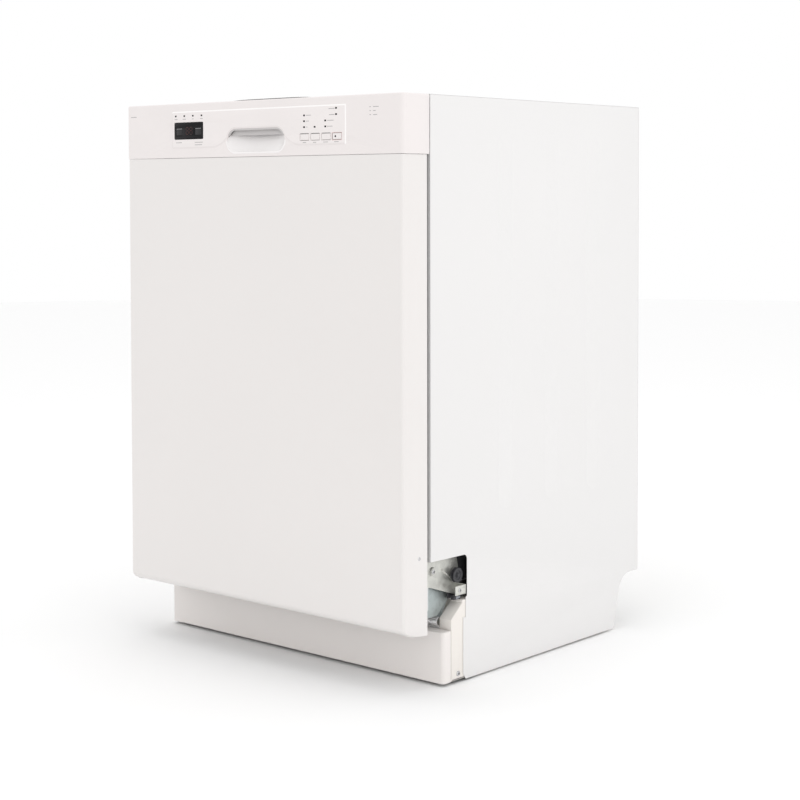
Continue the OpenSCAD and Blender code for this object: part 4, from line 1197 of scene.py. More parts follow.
def hinge_plates():
    plate_x, outer = 280, span("hinge_plates")[1]
    outline = [(-274, 112), (-247, 112), (-244, 149), (-232, 149), (-170, 128), (-163, 128), (-163, 160),
               (-170, 190),
               (-266, 190), (-274, 184)]
    piece = Piece("hinge_brackets", "cabinet", "galvanised", "hinge_plates")
    both_sides(piece, ZINC, plate, "side", plate_x, plate_x + 2.6, outline, [circle(-262, 118, 5, 24)],
               r=0.5)
    both_sides(piece, ZINC, revolve, [(0, 2), (7, 2.6), (5.6, 4), (5.2, 5.6), (0, 5.6)],
               (plate_x, -227, 172), "x", 32)
    ridge = bent([(plate_x + 2.4, -204, 171), (plate_x + 2.4, -171, 147)], 1)
    both_sides(piece, ZINC, lambda: wires([ridge], 1.5))
    both_sides(piece, ZINC, block, plate_x + 1, outer, -165.2, -164, 131, 145, 0.4)
    both_sides(piece, ZINC, block, outer - 1.2, outer, -189, -164, 131, 145, 0.4)
    both_sides(piece, DARK, rod, 2.9, plate_x + 2, 294.4, (0, -178, 160), "x", 0.5)
    piece.done()
    # Dark blocks behind and under the hinge bracket, placed where the cut-out shows a dark area.
    piece = Piece("dark_blocks_by_hinge", "cabinet", "pump_plastic")
    both_sides(piece, DARK, block, 276.8, 279.6, -186, -120, 124, 192, 0.8)
    both_sides(piece, DARK, block, 284.5, 291, -186, -168.5, 123.2, 129.5, 1.0)
    both_sides(piece, GREY, block, 286.2, 291.6, -181, -171.5, 124.2, 128.4, 0.4)
    piece.done()


def hinge_arms():
    piece = Piece("door_hinge_arms", "door", "galvanised", "hinge_arms")
    arm = arc(-262, 118, 13, 180, 360, 14) + [(-249, 138), (-255, 150), (-255, 266), (-259, 268),
                                              (-271, 268),
                                             (-275, 264)]
    both_sides(piece, ZINC, plate, "side", 284.6, 286.9, arm, [circle(-262, 118, 5.1, 24)], r=0.4)
    both_sides(piece, ZINC, block, 276, 285.4, -274, -269, 200, 266, 1)
    both_sides(piece, SCREW, rod, 4, 286.8, 287.4, (0, -265, 240), "x", 0.2)
    piece.done()
    piece = Piece("hinge_pin_heads", "cabinet", "screw_steel", "hinge_pins")
    profile = [(0, 280), (4.9, 280), (4.9, 287.8), (7.4, 287.9), (7.4, 289.2), (6.4, 289.8), (0, 289.8)]
    both_sides(piece, SCREW, revolve, profile, (0, -262, 118), "x", 32)
    piece.done()


def springs_and_pulleys():
    low = span("door_springs")[4]
    axis = low + 5
    coil = helix(290, axis, -120, 40, 4.2, 64)
    piece = Piece("balance_springs", "cabinet", "spring_steel", "door_springs")
    both_sides(piece, SPRING, lambda: wires([coil], 0.75, resolution=1))
    hook = bent([(290, 39, axis + 4), (290, 43, axis), (290, 60, axis)], 3)
    both_sides(piece, SPRING, lambda: wires([hook], 0.9))
    both_sides(piece, SPRING, lambda: wires([[(290, -176, axis + 0.2), (290, -121, axis)]], 0.8))
    piece.done()
    groove = [(3.1, -3), (10.6, -3), (11, -2.6), (11, -1.8), (8, -0.9), (8, 0.9), (11, 1.8), (11, 2.6),
              (10.6, 3),
              (7, 3), (6.4, 2), (4.6, 2), (4.2, 3), (3.1, 3)]
    piece = Piece("pulley_wheels", "cable_pulleys", "pump_plastic", "cable_pulleys")
    both_sides(piece, DARK, revolve, groove, (290, -178, 160), "x", 40, closed=True)
    piece.done()


def base_pan():
    x0, x1, y0, y1, z0, z1 = span("base_pan")
    post = [(y0, z0), (y0, 97), (-173, 118), (-173, z1), (-140, z1), (-140, z0)]
    piece = Piece("base_tray", "cabinet", "cream_plastic", "base_pan")
    outline = [(x0, y0 + 2), (x1, y0 + 2), (x1, y1), (x0, y1)]
    drains = [circle(sx * 240, y, 5.6, 24) for sx in (-1, 1) for y in (-150, 190)]
    drains += [round_rect(x - 22, x + 22, y - 5, y + 5, 4) for x in (-20, 40) for y in (-150, -60, 30, 200)]
    piece.add(plate("floor", z0, z0 + 2.6, outline, drains, r=0.5), CREAM)
    both_sides(piece, CREAM, block, x1 - 2.6, x1 - 0.05, -141, y1 - 1, z0 + 1, 60, 0.6)
    piece.add(block(-272, 272, y0 + 2.2, y0 + 4.8, z0 + 1, 60, 0.6), CREAM)
    holes = [circle(-192, 45, 18, 40), circle(215, 45, 14, 36), circle(101, 36, 16, 36)]
    piece.add(plate("front", y1 - 2.6, y1, [(x0, z0 + 1), (x1, z0 + 1), (x1, 60), (x0, 60)], holes, r=0.6),
              CREAM)
    for hx, hz, r in ((-192, 45, 18), (215, 45, 14), (101, 36, 16)):
        ring = [(r + 0.1, y1 - 1), (r + 2.4, y1 - 1), (r + 2.2, y1), (r + 0.4, y1)]
        piece.add(revolve([(a, b - y1) for a, b in ring], (hx, y1, hz), "y", 40, closed=True), CREAM)
    both_sides(piece, CREAM, plate, "side", 274, x1, post, [], r=0.9)
    both_sides(piece, CREAM, block, 260, x1, 160, 190, z0 + 1, z1, 1.2)
    for y in (-150, 190):
        both_sides(piece, CREAM, revolve, [(5.6, z0 + 1), (16, z0 + 1), (15.4, 24), (5.6, 24)], (240, y, 0),
                   "z", 36,
                   closed=True)
    for y in (-100, -20, 80, 140):
        both_sides(piece, CREAM, block, x1 - 6.5, x1 - 2, y - 1.2, y + 1.2, z0 + 2, 52, 0.5)
    for x in (-240, -150, -60, 30, 160, 250):
        piece.add(block(x - 1.2, x + 1.2, y1 - 8, y1 - 2, z0 + 2, 22, 0.5), CREAM)
    piece.done()


def front_member():
    _, x1, _, _, low, high = span("front_cross_member")
    profile = [(-197.2, low + 0.4), (-197.6, 84.6)] + arc(-197.5, 91, 6.6, 262, 78, 14) + [(-195, 97.9),
                                                                                           (-179.6,
                                                                                            high - 0.4)]
    piece = Piece("front_beam", "cabinet", "galvanised", "front_cross_member")
    # The rolled lip, profile[:split], gets the painted highlight; the slanted sheet above it and the cheeks
    # get the painted shade.
    split = 16
    piece.add(across(x1, profile[:split], 1.1), LIP_PAINTED_HIGHLIGHT)
    piece.add(across(x1, profile[split - 1:], 1.1), ZINC_PAINTED_SHADE)
    cheek = [(-230.5, 101), (-203, 101), (-176, 123.4), (-166, 124.5), (-166, 129.5), (-230.5, 151)]
    both_sides(piece, ZINC_PAINTED_SHADE, plate, "side", 272.6, 273.6, cheek, r=0.3)
    for x in (-262, -200, 200, 262):
        piece.add(revolve([(0, -1), (2.6, -0.4), (2.2, 0.5), (0, 0.9)], (x, -204.4, 90), "y", 20), SCREW)
    piece.done()


def feet():
    for name, spots in (("front_foot_left", [(-240, -150)]), ("front_foot_right", [(240, -150)]),
                        ("rear_feet", [(-240, 190), (240, 190)])):
        piece = Piece(name + "_levelling", name, "rubber", name)
        for x, y in spots:
            thread = [(0, 4.6)]
            for i in range(44):
                z = 5 + i * 1.25
                thread += [(4.7, z), (5.35, z + 0.5), (5.35, z + 0.7), (4.7, z + 1.2)]
            piece.add(revolve(thread + [(0, 60)], (x, y, 0), "z", 20), SCREW)
            pad = [(0, 0), (16.6, 0), (17.9, 0.9), (17.9, 2.4), (16.8, 3.4), (9, 4.6), (0, 4.6)]
            piece.add(revolve(pad, (x, y, 0), "z", 48), RUBBER)
        piece.done()


def valve_and_pumps():
    x = -192
    piece = Piece("water_valve", "cabinet", "pale_plastic", "inlet_valve")
    piece.add(block(x - 28, x + 28, 150, 200, 24, 72, 4, 4), PALE)
    piece.add(block(x - 22, x + 22, 152, 198, 8.2, 26, 2), PALE)
    for side in (-1, 1):
        cx = x + side * 14
        coil = [(0, 71), (13, 71), (13, 73), (10.6, 74), (10.6, 92), (13, 93), (13, 95.4), (12, 96),
                (5, 96), (4, 94.6),
                (0, 94.6)]
        piece.add(revolve(coil, (cx, 175, 0), "z", 36), PALE)
        piece.add(revolve([(11.3, 74.6), (11.9, 76), (11.9, 90), (11.3, 91.4)], (cx, 175, 0), "z", 36),
                  COPPER)
        for dx in (-3.4, 3.4):
            piece.add(block(cx + dx - 0.4, cx + dx + 0.4, 186, 194, 82, 88, 0.1), SCREW)
    spigot = [(8.1, 200), (12.6, 200)]
    for i in range(13):
        y = 204 + i * 2.9
        spigot += [(12.4, y), (13.15, y + 0.9), (13.15, y + 1.3), (12.4, y + 2.2)]
    spigot += [(12, 243.4), (11.4, 244), (8.6, 244), (8.1, 243.4)]
    piece.add(revolve([(r, y - 200) for r, y in spigot], (x, 200, 45), "y", 36, closed=True), BLUE)
    piece.add(rod(8, 205, 206, (x, 0, 45), "y", 0.2), STEEL_X)
    piece.done()

    piece = Piece("drain_pump_unit", "cabinet", "pump_plastic", "drain_pump")
    body = [(0, 90), (20, 90), (25, 92), (26, 95), (26, 129), (25, 131), (22, 132), (22, 172), (20, 176),
            (0, 176)]
    piece.add(revolve(body, (200, 0, 45), "y", 48), MID_DARK)
    piece.add(block(180, 220, 100, 160, 8.2, 26, 2), MID_DARK)
    for y in (138, 146, 154, 162):
        piece.add(revolve([(21, y), (22.8, y + 0.6), (22.8, y + 3), (21, y + 3.6)], (200, 0, 45), "y", 48),
                  DARK)
    hose = [(7.1, 176), (9.2, 176)]
    for y in (222, 229, 236):
        hose += [(8.4, y), (9.45, y + 1), (8.4, y + 6)]
    hose += [(8.4, 246), (7.1, 246)]
    piece.add(revolve([(r, y - 176) for r, y in hose], (215, 176, 45), "y", 32, closed=True), MID_DARK)
    piece.add(rod(11, 128, 180, (0, 112, 50), "x", 1), MID_DARK)
    piece.done()

    piece = Piece("wash_pump_unit", "cabinet", "pump_plastic", "wash_pump")
    motor = [(0, -190), (24, -190), (30, -187), (32, -182), (32, -84), (34, -79), (34, -67), (32, -66),
             (0, -66)]
    piece.add(revolve(motor, (0, 90, 48), "x", 56), MID_DARK)
    for i in range(9):
        x = -176 + i * 9.6
        piece.add(revolve([(31, x), (33.4, x + 0.8), (33.4, x + 2.2), (31, x + 3)], (0, 90, 48), "x", 48),
                  DARK)
    piece.add(block(-180, -90, 70, 110, 8.2, 22, 2), MID_DARK)
    piece.add(rod(12, -68, -48, (0, 90, 60), "x", 1), MID_DARK)
    piece.done()


def sump_parts():
    piece = Piece("sump_bowl", "cabinet", "pale_plastic", "sump")
    bowl = [(0, 60), (60, 60), (62, 62), (62, 83.6), (109, 91), (111, 93), (111, 121.6), (110, 122.3),
            (108.3, 122.3),
            (107.5, 121.4), (107.5, 95.4), (59.4, 87), (59, 86), (59, 64), (58, 63), (14, 63), (14, 145),
            (12, 146),
            (9, 146), (9, 158), (8, 159), (0, 159)]
    piece.add(revolve(bowl, (0, SPRAY_Y, 0), "z", 72), PALE)
    for i in range(12):
        a = math.tau * i / 12
        piece.add(turned(block(62, 106, SPRAY_Y - 1, SPRAY_Y + 1, 84, 89, 0.3), math.degrees(a), "Z",
                         (0, SPRAY_Y, 0)),
                  PALE)
    piece.done()

    piece = Piece("strainer_plate", "cabinet", "tub_steel", "filter_plate")
    holes = [circle(0, SPRAY_Y, 14.6, 32), circle(0, SPRAY_Y - 66, 37, 48)]
    piece.add(plate("floor", TUB_LOW + 0.2, TUB_LOW + 1.6, circle(0, SPRAY_Y, 118, 96), holes, r=0.4),
              SIEVE)
    rim = [(112.5, 0.6), (114, 2), (116.6, 2), (118, 0.4)]
    piece.add(revolve(rim, (0, SPRAY_Y, TUB_LOW), "z", 96), STEEL_X)
    piece.add(revolve([(15, 0.8), (16, 2), (18, 2), (19, 0.8)], (0, SPRAY_Y, TUB_LOW), "z", 48), STEEL_X)
    piece.done()

    fy = SPRAY_Y - 66
    piece = Piece("twist_filter", "fine_filter", "grey_plastic", "fine_filter")
    cup = [(0, 99), (32, 99), (34, 101), (34, 126.2), (41.4, 126.4), (42, 127.2), (41.2, 129), (33.4, 129),
           (32.6, 128.2), (32.6, 102), (31.6, 101), (0, 101)]
    piece.add(revolve(cup, (0, fy, 0), "z", 64), MESH_GREY)
    for i in range(8):
        a = 360 * i / 8
        piece.add(turned(block(31.2, 32.9, fy - 1.4, fy + 1.4, 101, 128, 0.4), a, "Z", (0, fy, 0)), GREY)
    piece.add(block(-33, 33, fy - 2, fy + 2, 122.4, 136, 1.4, 3), GREY)
    piece.add(block(-15, 15, fy - 1.9, fy + 1.9, 134, 142, 1.6, 3), GREY)
    for k in range(5):
        x = -8 + 4 * k
        piece.add(block(x - 0.7, x + 0.7, fy - 2.3, fy + 2.3, 136.6, 140.6, 0.4), GREY)
    piece.done()


def heater():
    ring = [(165 * math.cos(math.radians(a)), SPRAY_Y + 165 * math.sin(math.radians(a)),
             137) for a in range(97, 444, 4)]
    piece = Piece("heating_ring", "cabinet", "heater_steel", "heater")
    first, last = ring[0], ring[-1]
    path = [(-20, first[1], 97)] + bent([(-20, first[1], 97), first, ring[1]], 9, 5)[1:] + ring[2:-2]
    path += bent([ring[-2], last, (20, last[1], 97)], 9, 5)
    piece.add(wires([path], 3.9, resolution=3), HEAT)
    for a in (200, 270, 340):
        x, y = 165 * math.cos(math.radians(a)), SPRAY_Y + 165 * math.sin(math.radians(a))
        post = turned(block(-2.4, 2.4, -2.4, 2.4, TUB_LOW + 0.1, 133.4, 0.5), a, "Z", (0, 0, 0))
        post.transform(Matrix.Translation((x, y, 0)))
        piece.add(post, STEEL_X)
        clip = revolve([(4.0, -2.4), (4.9, -2.4), (4.9, 2.4), (4.0, 2.4)], (0, 0, 0), "y", 24, closed=True)
        clip.transform(Matrix.Translation((x, y, 137)) @ Matrix.Rotation(math.radians(a), 4, "Z"))
        piece.add(clip, STEEL_X)
    piece.done()


def water_column():
    column_y, pipe_z = 246, 820
    dock_z = 436
    piece = Piece("water_pipe", "cabinet", "pale_plastic", "water_column")
    path = bent([(0, column_y, 100), (0, column_y, pipe_z), (0, SPRAY_Y, pipe_z)], 22, 8)
    piece.add(wires([path], 8.9, resolution=4), PALE)
    for z in (230, 330, 540, 640, 740):
        piece.add(revolve([(8.4, z - 3), (10.6, z - 2.2), (10.6, z + 2.2), (8.4, z + 3)], (0, column_y, 0),
                          "z", 36), PALE)
        piece.add(block(-13, 13, column_y + 6, 261.6, z - 4, z + 4, 1.4), PALE)
    dock = [(6, 232.2), (13, 232.2), (14, 233.4), (14, 239), (11, 246), (11, 256), (0, 257), (0, 235),
            (6, 235)]
    piece.add(revolve([(r, y - 232) for r, y in dock], (0, 232, dock_z), "y", 44), PALE)
    hub = [(0, 798.4), (7.4, 798.4), (7.95, 799.2), (7.95, 811.2), (13, 811.4), (16, 814), (16, 829),
           (14, 831.8),
           (0, 831.8)]
    piece.add(revolve(hub, (0, SPRAY_Y, 0), "z", 44), PALE)
    for y in (70, 140, 200):
        piece.add(revolve([(8.4, -3), (10.4, -2), (10.4, 2), (8.4, 3)], (0, y, pipe_z), "y", 32), PALE)
        piece.add(block(-12, 12, y - 4, y + 4, 826, 831.6, 1), PALE)
    piece.done()


def float_cap():
    x0, x1, y0, y1, z0, z1 = span("float")
    centre = ((x0 + x1) / 2, (y0 + y1) / 2, 0)
    r = (x1 - x0) / 2
    cap = [(0, z0), (4, z0), (4.4, z0 + 1), (4.4, 124.4), (r - 1, 124.4), (r, 125.4), (r, 146),
           (r - 1, 149.4),
           (r - 4, 152), (r - 9, 153.6), (0, z1)]
    piece = Piece("overfill_float", "float", "pale_plastic", "float")
    piece.add(revolve(cap, centre, "z", 48), PALE)
    for i in range(16):
        piece.add(turned(block(centre[0] + r - 0.6, centre[0] + r - 0.02, centre[1] - 0.9, centre[1] + 0.9,
                               127, 144, 0.2),
                         360 * i / 16, "Z", centre), PALE)
    piece.done()


# ---------- spray arms ----------


def spray_arm(node, pin_r, hub_r, nozzles):
    """Hollow blade that narrows and thins outwards, with raised jets and a hub."""
    _, x1, _, _, z0, z1 = span(node)
    centre = (0, SPRAY_Y, 0)
    half = min(x1, 400)
    width = {"lower_spray_arm": 40, "upper_spray_arm": 36, "top_spray_arm": 30}[node]
    low, high = {"lower_spray_arm": (150, 161), "upper_spray_arm": (411, 420),
                 "top_spray_arm": (799, 806)}[node]
    middle = (low + high) / 2
    loops = []
    stations = 36
    for i in range(stations + 1):
        s = math.sin(math.pi * (i / stations - 0.5))
        x = s * (half - 0.3)
        t = abs(x) / half
        reach = width / 2 - (width / 2 - width / 3) * min(1, t * 1.15)
        tip = math.sqrt(max(0.02, 1 - max(0.0, (abs(x) - (half - width / 3)) / (width / 3)) ** 2))
        tall = (high - low) / 2 * (1 - 0.22 * t) * max(0.35, tip)
        loop = []
        for k in range(20):
            a = math.tau * k / 20
            c, sn = math.cos(a), math.sin(a)
            u = math.copysign(abs(c) ** 0.75, c) * reach * tip
            w = math.copysign(abs(sn) ** 0.75, sn) * tall
            loop.append((x, SPRAY_Y + u, middle + w))
        loops.append(loop)
    blade = loft(loops, cap_start=True, cap_end=True)
    hub_low, hub_high = z0, z1
    bore_top = hub_high - 4.5 if node == "lower_spray_arm" else hub_high
    hub = revolve([(0, hub_low), (hub_r - 1, hub_low), (hub_r, hub_low + 1), (hub_r, hub_high - 2),
                   (hub_r - 2.5, hub_high),
                   (0, hub_high)], centre, "z", 48)
    bore = (hub_low - 3, bore_top - (0 if node == "lower_spray_arm" else -3))
    hole = rod(pin_r + 0.12, bore[0], bore[1], centre, "z", 0, 40)
    other = rod(pin_r + 0.12, bore[0], bore[1], centre, "z", 0, 40)
    piece = Piece(node + "_blade", node, "grey_plastic", node)
    piece.add(cut(blade, hole), ARM_GREY)
    piece.add(cut(hub, other), ARM_GREY)
    for x, off in nozzles:
        t = abs(x) / half
        top = middle + (high - low) / 2 * (1 - 0.22 * t) - 0.35
        jet = [(0, -1.2), (4.4, -1.2), (4.0, 0.3), (2.6, 0.9), (1.4, 0.9), (1.0, 0.2), (0, 0.2)]
        piece.add(revolve(jet, (x, SPRAY_Y + off, top), "z", 20), ARM_GREY)
        piece.add(revolve([(0, 0.22), (1.3, 0.22), (1.3, 0.5), (0, 0.5)], (x, SPRAY_Y + off, top), "z", 12),
                  DARK)
    piece.add(revolve([(hub_r + 1, 0), (hub_r + 2.4, 0.5), (hub_r + 3.4, 0)],
                      (0, SPRAY_Y, middle + (high - low) / 2 - 0.3),
                      "z", 40), ARM_GREY)
    piece.done()


def spray_arms():
    spray_arm("lower_spray_arm", 9, 18, [(s * x, s * o) for s in (-1, 1) for x, o in
              ((38, 6), (70, -5), (104, 4), (138, -4), (168, 3), (192, 0))])
    spray_arm("upper_spray_arm", 9, 16, [(s * x, s * o) for s in (-1, 1) for x, o in
              ((36, -5), (72, 5), (108, -4), (146, 3), (178, 0))])
    spray_arm("top_spray_arm", 8, 14, [(s * x, s * o) for s in (-1, 1) for x,
                                       o in ((34, 3), (62, -3), (92, 0))])


# ---------- racks ----------

WIRE = 1.95


def rack_wires(half, front, back, z0, z1, mid):
    """Floor wires that turn up into the walls, with rims round the top and middle."""
    paths = []
    for i in range(9):
        y = front + 2 + 55.2 * i
        paths.append(bent([(-half, y, z1 - 3), (-half, y, z0), (half, y, z0), (half, y, z1 - 3)], 9))
    for i in range(15):
        x = -224 + 32 * i
        paths.append(bent([(x, front, z1 - 3), (x, front, z0 + 0.2), (x, back, z0 + 0.2),
                           (x, back, z1 - 3)], 9))
    rims = []
    for z in (z1, mid):
        corners = [(-half, front), (half, front), (half, back), (-half, back)]
        rims.append(bent([(x, y, z) for x, y in corners], 16, 6, closed=True))
    return paths, rims


def tine_paths(x0, x1, y, z0, z1, lean=0.0):
    paths = [[(x0, y, z0), (x1, y, z0)]]
    count = int((x1 - x0) / 32 + 1.01)
    for i in range(count):
        x = x0 + 32 * i
        paths.append([(x, y, z0), (x, y + lean, z1)])
    return paths


def round_tips(piece, paths, material):
    for path in paths[1:]:
        x, y, z = path[-1]
        piece.add(revolve([(0, 2.6), (1.8, 2.2), (2.5, 0.9), (2.5, -0.9), (1.95, -2), (0, -2)], (x, y, z),
                          "z", 12), material)


def upper_rack():
    z0, z1 = 457, 563
    piece = Piece("upper_basket", "upper_rack", "rack_vinyl", "upper_rack")
    paths, rims = rack_wires(240, -220, 224, z0, z1, 512)
    piece.add(wires(paths, WIRE), VINYL)
    piece.add(wires(rims, 2.0, closed=True), VINYL)
    for y in (-88, 32):
        rows = tine_paths(-128, 128, y, z0 + 4, z0 + 55)
        piece.add(wires(rows, 1.7), VINYL)
        round_tips(piece, rows, VINYL)
    for y in (-193, 3):
        both_sides(piece, GREY, plate, "front", y - 2, y + 2, round_rect(228.2, 237.8, 541.5, 552.8, 2),
                   [circle(232, 547, 2.1, 16)], r=0.4)
    rail = round_rect(58, 212, 506, 526, 4)
    both_sides(piece, GREY, plate, "side", 242.1, 244.9, rail, [round_rect(100, 170, 511, 521, 3)], r=0.5)
    both_sides(piece, SCREW, rod, 2.95, 243, 254.3, (0, 200, 516), "x")
    both_sides(piece, GREY, block, 244, 254.2, 61.5, 78.5, 507.2, 524.8, 2)
    pipe_z = 436
    pipe = [(5.1, 230.4), (6.4, 230.4), (8, 229), (8, 196), (10, 195), (10, 190), (8, 189), (8, 20),
            (0, 20), (0, 100),
            (5.1, 100)]
    piece.add(revolve([(r, y - 20) for r, y in pipe], (0, 20, pipe_z), "y", 36), PALE)
    hub = [(0, 414.4), (8.3, 414.4), (8.95, 415.2), (8.95, 427.8), (14, 428), (15, 429), (15, 453),
           (14, 454.6), (0, 454.6)]
    piece.add(revolve(hub, (0, SPRAY_Y, 0), "z", 44), PALE)
    for y in (90, 150):
        piece.add(block(-10, 10, y - 5, y + 5, 442, 456, 1.5), PALE)
    piece.done()


def lower_rack():
    z0, z1 = 172, 298
    piece = Piece("lower_basket", "lower_rack", "rack_vinyl", "lower_rack")
    paths, rims = rack_wires(240, -220, 224, z0, z1, 238)
    piece.add(wires(paths, WIRE), VINYL)
    piece.add(wires(rims, 2.0, closed=True), VINYL)
    for x0, x1, y in ((-220, -28, -88), (28, 220, -88), (-220, -28, 32), (-220, -28, 152)):
        rows = tine_paths(x0, x1, y, z0 + 4, z0 + 85)
        piece.add(wires(rows, 1.8), VINYL)
        round_tips(piece, rows, VINYL)
    for y in (-128, 180):
        outline = round_rect(y - 14, y + 14, 140, 190, 7)
        both_sides(piece, GREY, plate, "side", 242.2, 244.9, outline,
                   [round_rect(y - 5, y + 5, 168, 184, 3)], r=0.5)
        both_sides(piece, GREY, revolve, [(0, 244.5), (9, 244.6), (6, 246.6), (3.9, 246.6), (3.9, 261.4),
                                          (3.3, 262), (0, 262)],
                   (0, y, 150), "x", 28)
    for x in (18, 223):
        piece.add(plate("side", x + 0.1, x + 3.9, round_rect(145, 155, 174.4, 184, 2),
                        [circle(150, 179, 2.1, 16)], r=0.4),
                  GREY)
    piece.done()

    piece = Piece("folding_tines", "fold_tines", "tine_vinyl", "fold_tines")
    rows = [[(17.5, 150, 179), (227.5, 150, 179)]] + [[(x, 150, 179), (x, 150, 258)] for x in range(28, 221,
                                                                                                    32)]
    piece.add(wires(rows, 1.9), TINE_BLUE)
    round_tips(piece, rows, TINE_BLUE)
    piece.done()


def wheel(x0, x1, r, bore, centre, piece):
    """Wheel with a hub, a dished web and a rounded tread."""
    width = x1 - x0
    deep = width * 0.24
    hub, rim = bore + (r - bore) * 0.3, r * 0.8
    profile = [(bore, x0), (hub - 0.4, x0), (hub, x0 + 0.4), (hub + 0.4, x0 + deep), (rim - 0.6, x0 + deep),
               (rim, x0 + 0.5), (r - 0.8, x0 + 0.2), (r, x0 + 1), (r, x1 - 1), (r - 0.8, x1 - 0.2),
               (rim, x1 - 0.5),
               (rim - 0.6, x1 - deep), (hub + 0.4, x1 - deep), (hub, x1 - 0.4), (hub - 0.4, x1), (bore, x1)]
    both_sides(piece, GREY, revolve, profile, centre, "x", 40, closed=True)


def wheels():
    for node, y in (("lower_wheels_front", -128), ("lower_wheels_rear", 180)):
        piece = Piece(node + "_pair", node, "grey_plastic", node)
        wheel(247, 260, 17.88, 4.1, (0, y, 150), piece)
        for i in range(6):
            for side in (-1, 1):
                spoke = turned(block(side * 249 - 1, side * 249 + 1, y + 8, y + 14.4, 149.2, 150.8, 0.3),
                               60 * i, "X",
                               (0, y, 150))
                piece.add(spoke, GREY)
        piece.done()
    piece = Piece("rail_roller_pair", "rail_rollers", "grey_plastic", "rail_rollers")
    wheel(257, 262, 8.95, 3.1, (0, -190, 516), piece)
    piece.done()
    piece = Piece("rack_wheel_pair", "upper_rack_wheels", "grey_plastic", "upper_rack_wheels")
    wheel(249.5, 254.4, 8.95, 3.1, (0, 200, 516), piece)
    piece.done()


def upper_rails():
    _, x1, y0, y1, z0, z1 = span("upper_rails")
    inner, web = 249, 255
    h = 1.4
    section = [(inner, z0), (x1, z0), (x1, z0 + h), (web + h, z0 + h), (web + h, z1 - h), (x1, z1 - h),
               (x1, z1),
               (inner, z1), (inner, z1 - h), (web, z1 - h), (web, z0 + h), (inner, z0 + h)]
    piece = Piece("sliding_rails", "upper_rails", "galvanised", "upper_rails")

    def bar():
        return softened(loft([at_depth(section, y0), at_depth(section, y1)], cap_start=True, cap_end=True),
                        0.35)

    both_sides(piece, RAIL_STEEL, bar)
    for y in (y0, y1 - 4):
        both_sides(piece, DARK, block, web - 0.1, web + h + 3, y, y + 4, z0 + h, z1 - h, 0.4)
    for y in (-140, -20, 120):
        both_sides(piece, SCREW, rod, 2.2, web - 0.02, web + h + 0.5, (0, y, 516), "x", 0.2, 20)
    piece.done()


def cup_shelf():
    hinge_x, hinge_z = 232, 547
    inner = hinge_x - 88.5
    piece = Piece("cup_shelf_wires", "cup_shelf", "rack_vinyl", "cup_shelf")
    frame_path = bent([(hinge_x, -188.5, hinge_z), (inner, -188.5, hinge_z), (inner, -1.5, hinge_z),
                       (hinge_x, -1.5, hinge_z)], 12)
    paths = [frame_path, [(hinge_x, -195.5, hinge_z), (hinge_x, 5.5, hinge_z)],
             [(hinge_x - 44, -190, hinge_z), (hinge_x - 44, -1, hinge_z)]]
    paths += [[(hinge_x, -157 + 31 * i, hinge_z), (inner, -157 + 31 * i, hinge_z)] for i in range(5)]
    piece.add(wires(paths, 1.45), VINYL)
    piece.add(block(inner - 1.4, inner + 8, -120, -70, hinge_z - 1.5, hinge_z + 1.5, 1.2, 3), GREY)
    piece.done()


def cutlery_basket():
    x0, x1, y0, y1, z0, z1 = span("cutlery_basket")
    top = z1 - 20
    slots = []
    for i in range(-1, 2):
        for k in range(6):
            for row in range(3):
                cx, cz = i * 66 + (k - 2.5) * 9.6, z0 + 22 + row * 33
                slots.append(round_rect(cx - 2.6, cx + 2.6, cz - 11, cz + 11, 2.2, 2))
    ends = [round_rect(cy - 2.6, cy + 2.6, z0 + 11 + row * 33, z0 + 33 + row * 33, 2.2, 2)
            for cy in range(int(y0) + 12, int(y1) - 8, 10) for row in range(3)]
    piece = Piece("cutlery_caddy", "cutlery_basket", "grey_plastic", "cutlery_basket")
    outline = [(x0, z0), (x1, z0), (x1, top), (x0, top)]
    for y in (y0, y1 - 2):
        piece.add(plate("front", y, y + 2, outline, slots, r=0.4), GREY)
    for x in (x0, x1 - 2):
        piece.add(plate("side", x, x + 2, [(y0 + 1, z0), (y1 - 1, z0), (y1 - 1, top), (y0 + 1, top)], ends,
                        r=0.4), GREY)
    for x in (-33, 33):
        piece.add(block(x - 1.3, x + 1.3, y0 + 1, y1 - 1, z0 + 1, top - 2, 0.5), GREY)
    drains = [round_rect(x - 7, x + 7, y - 2, y + 2, 1.6, 2) for x in range(-84, 90,
                                                                            21) for y in range(int(y0) + 11,
                                                                                               int(y1) - 6,
                                                                                               9)]
    floor_outline = [(x0 + 1, y0 + 1), (x1 - 1, y0 + 1), (x1 - 1, y1 - 1), (x0 + 1, y1 - 1)]
    piece.add(plate("floor", z0, z0 + 2, floor_outline, drains, r=0.4), GREY)
    rim = [[(x, y, top - 1.2) for x, y in ((x0 + 1.2, y0 + 1.2), (x1 - 1.2, y0 + 1.2), (x1 - 1.2, y1 - 1.2),
                                           (x0 + 1.2, y1 - 1.2))]]
    piece.add(wires(rim, 1.2, closed=True, resolution=3), GREY)
    grip = bent([(-33, -173, top - 12), (-33, -173, z1 - 3), (33, -173, z1 - 3), (33, -173, top - 12)], 9,
                6)
    piece.add(wires([grip], 2.4, resolution=3), GREY)
    piece.add(block(-22, 22, -176, -170, z1 - 5.8, z1 - 0.1, 2.4, 3), GREY)
    piece.done()


# ---------- inside of the door ----------


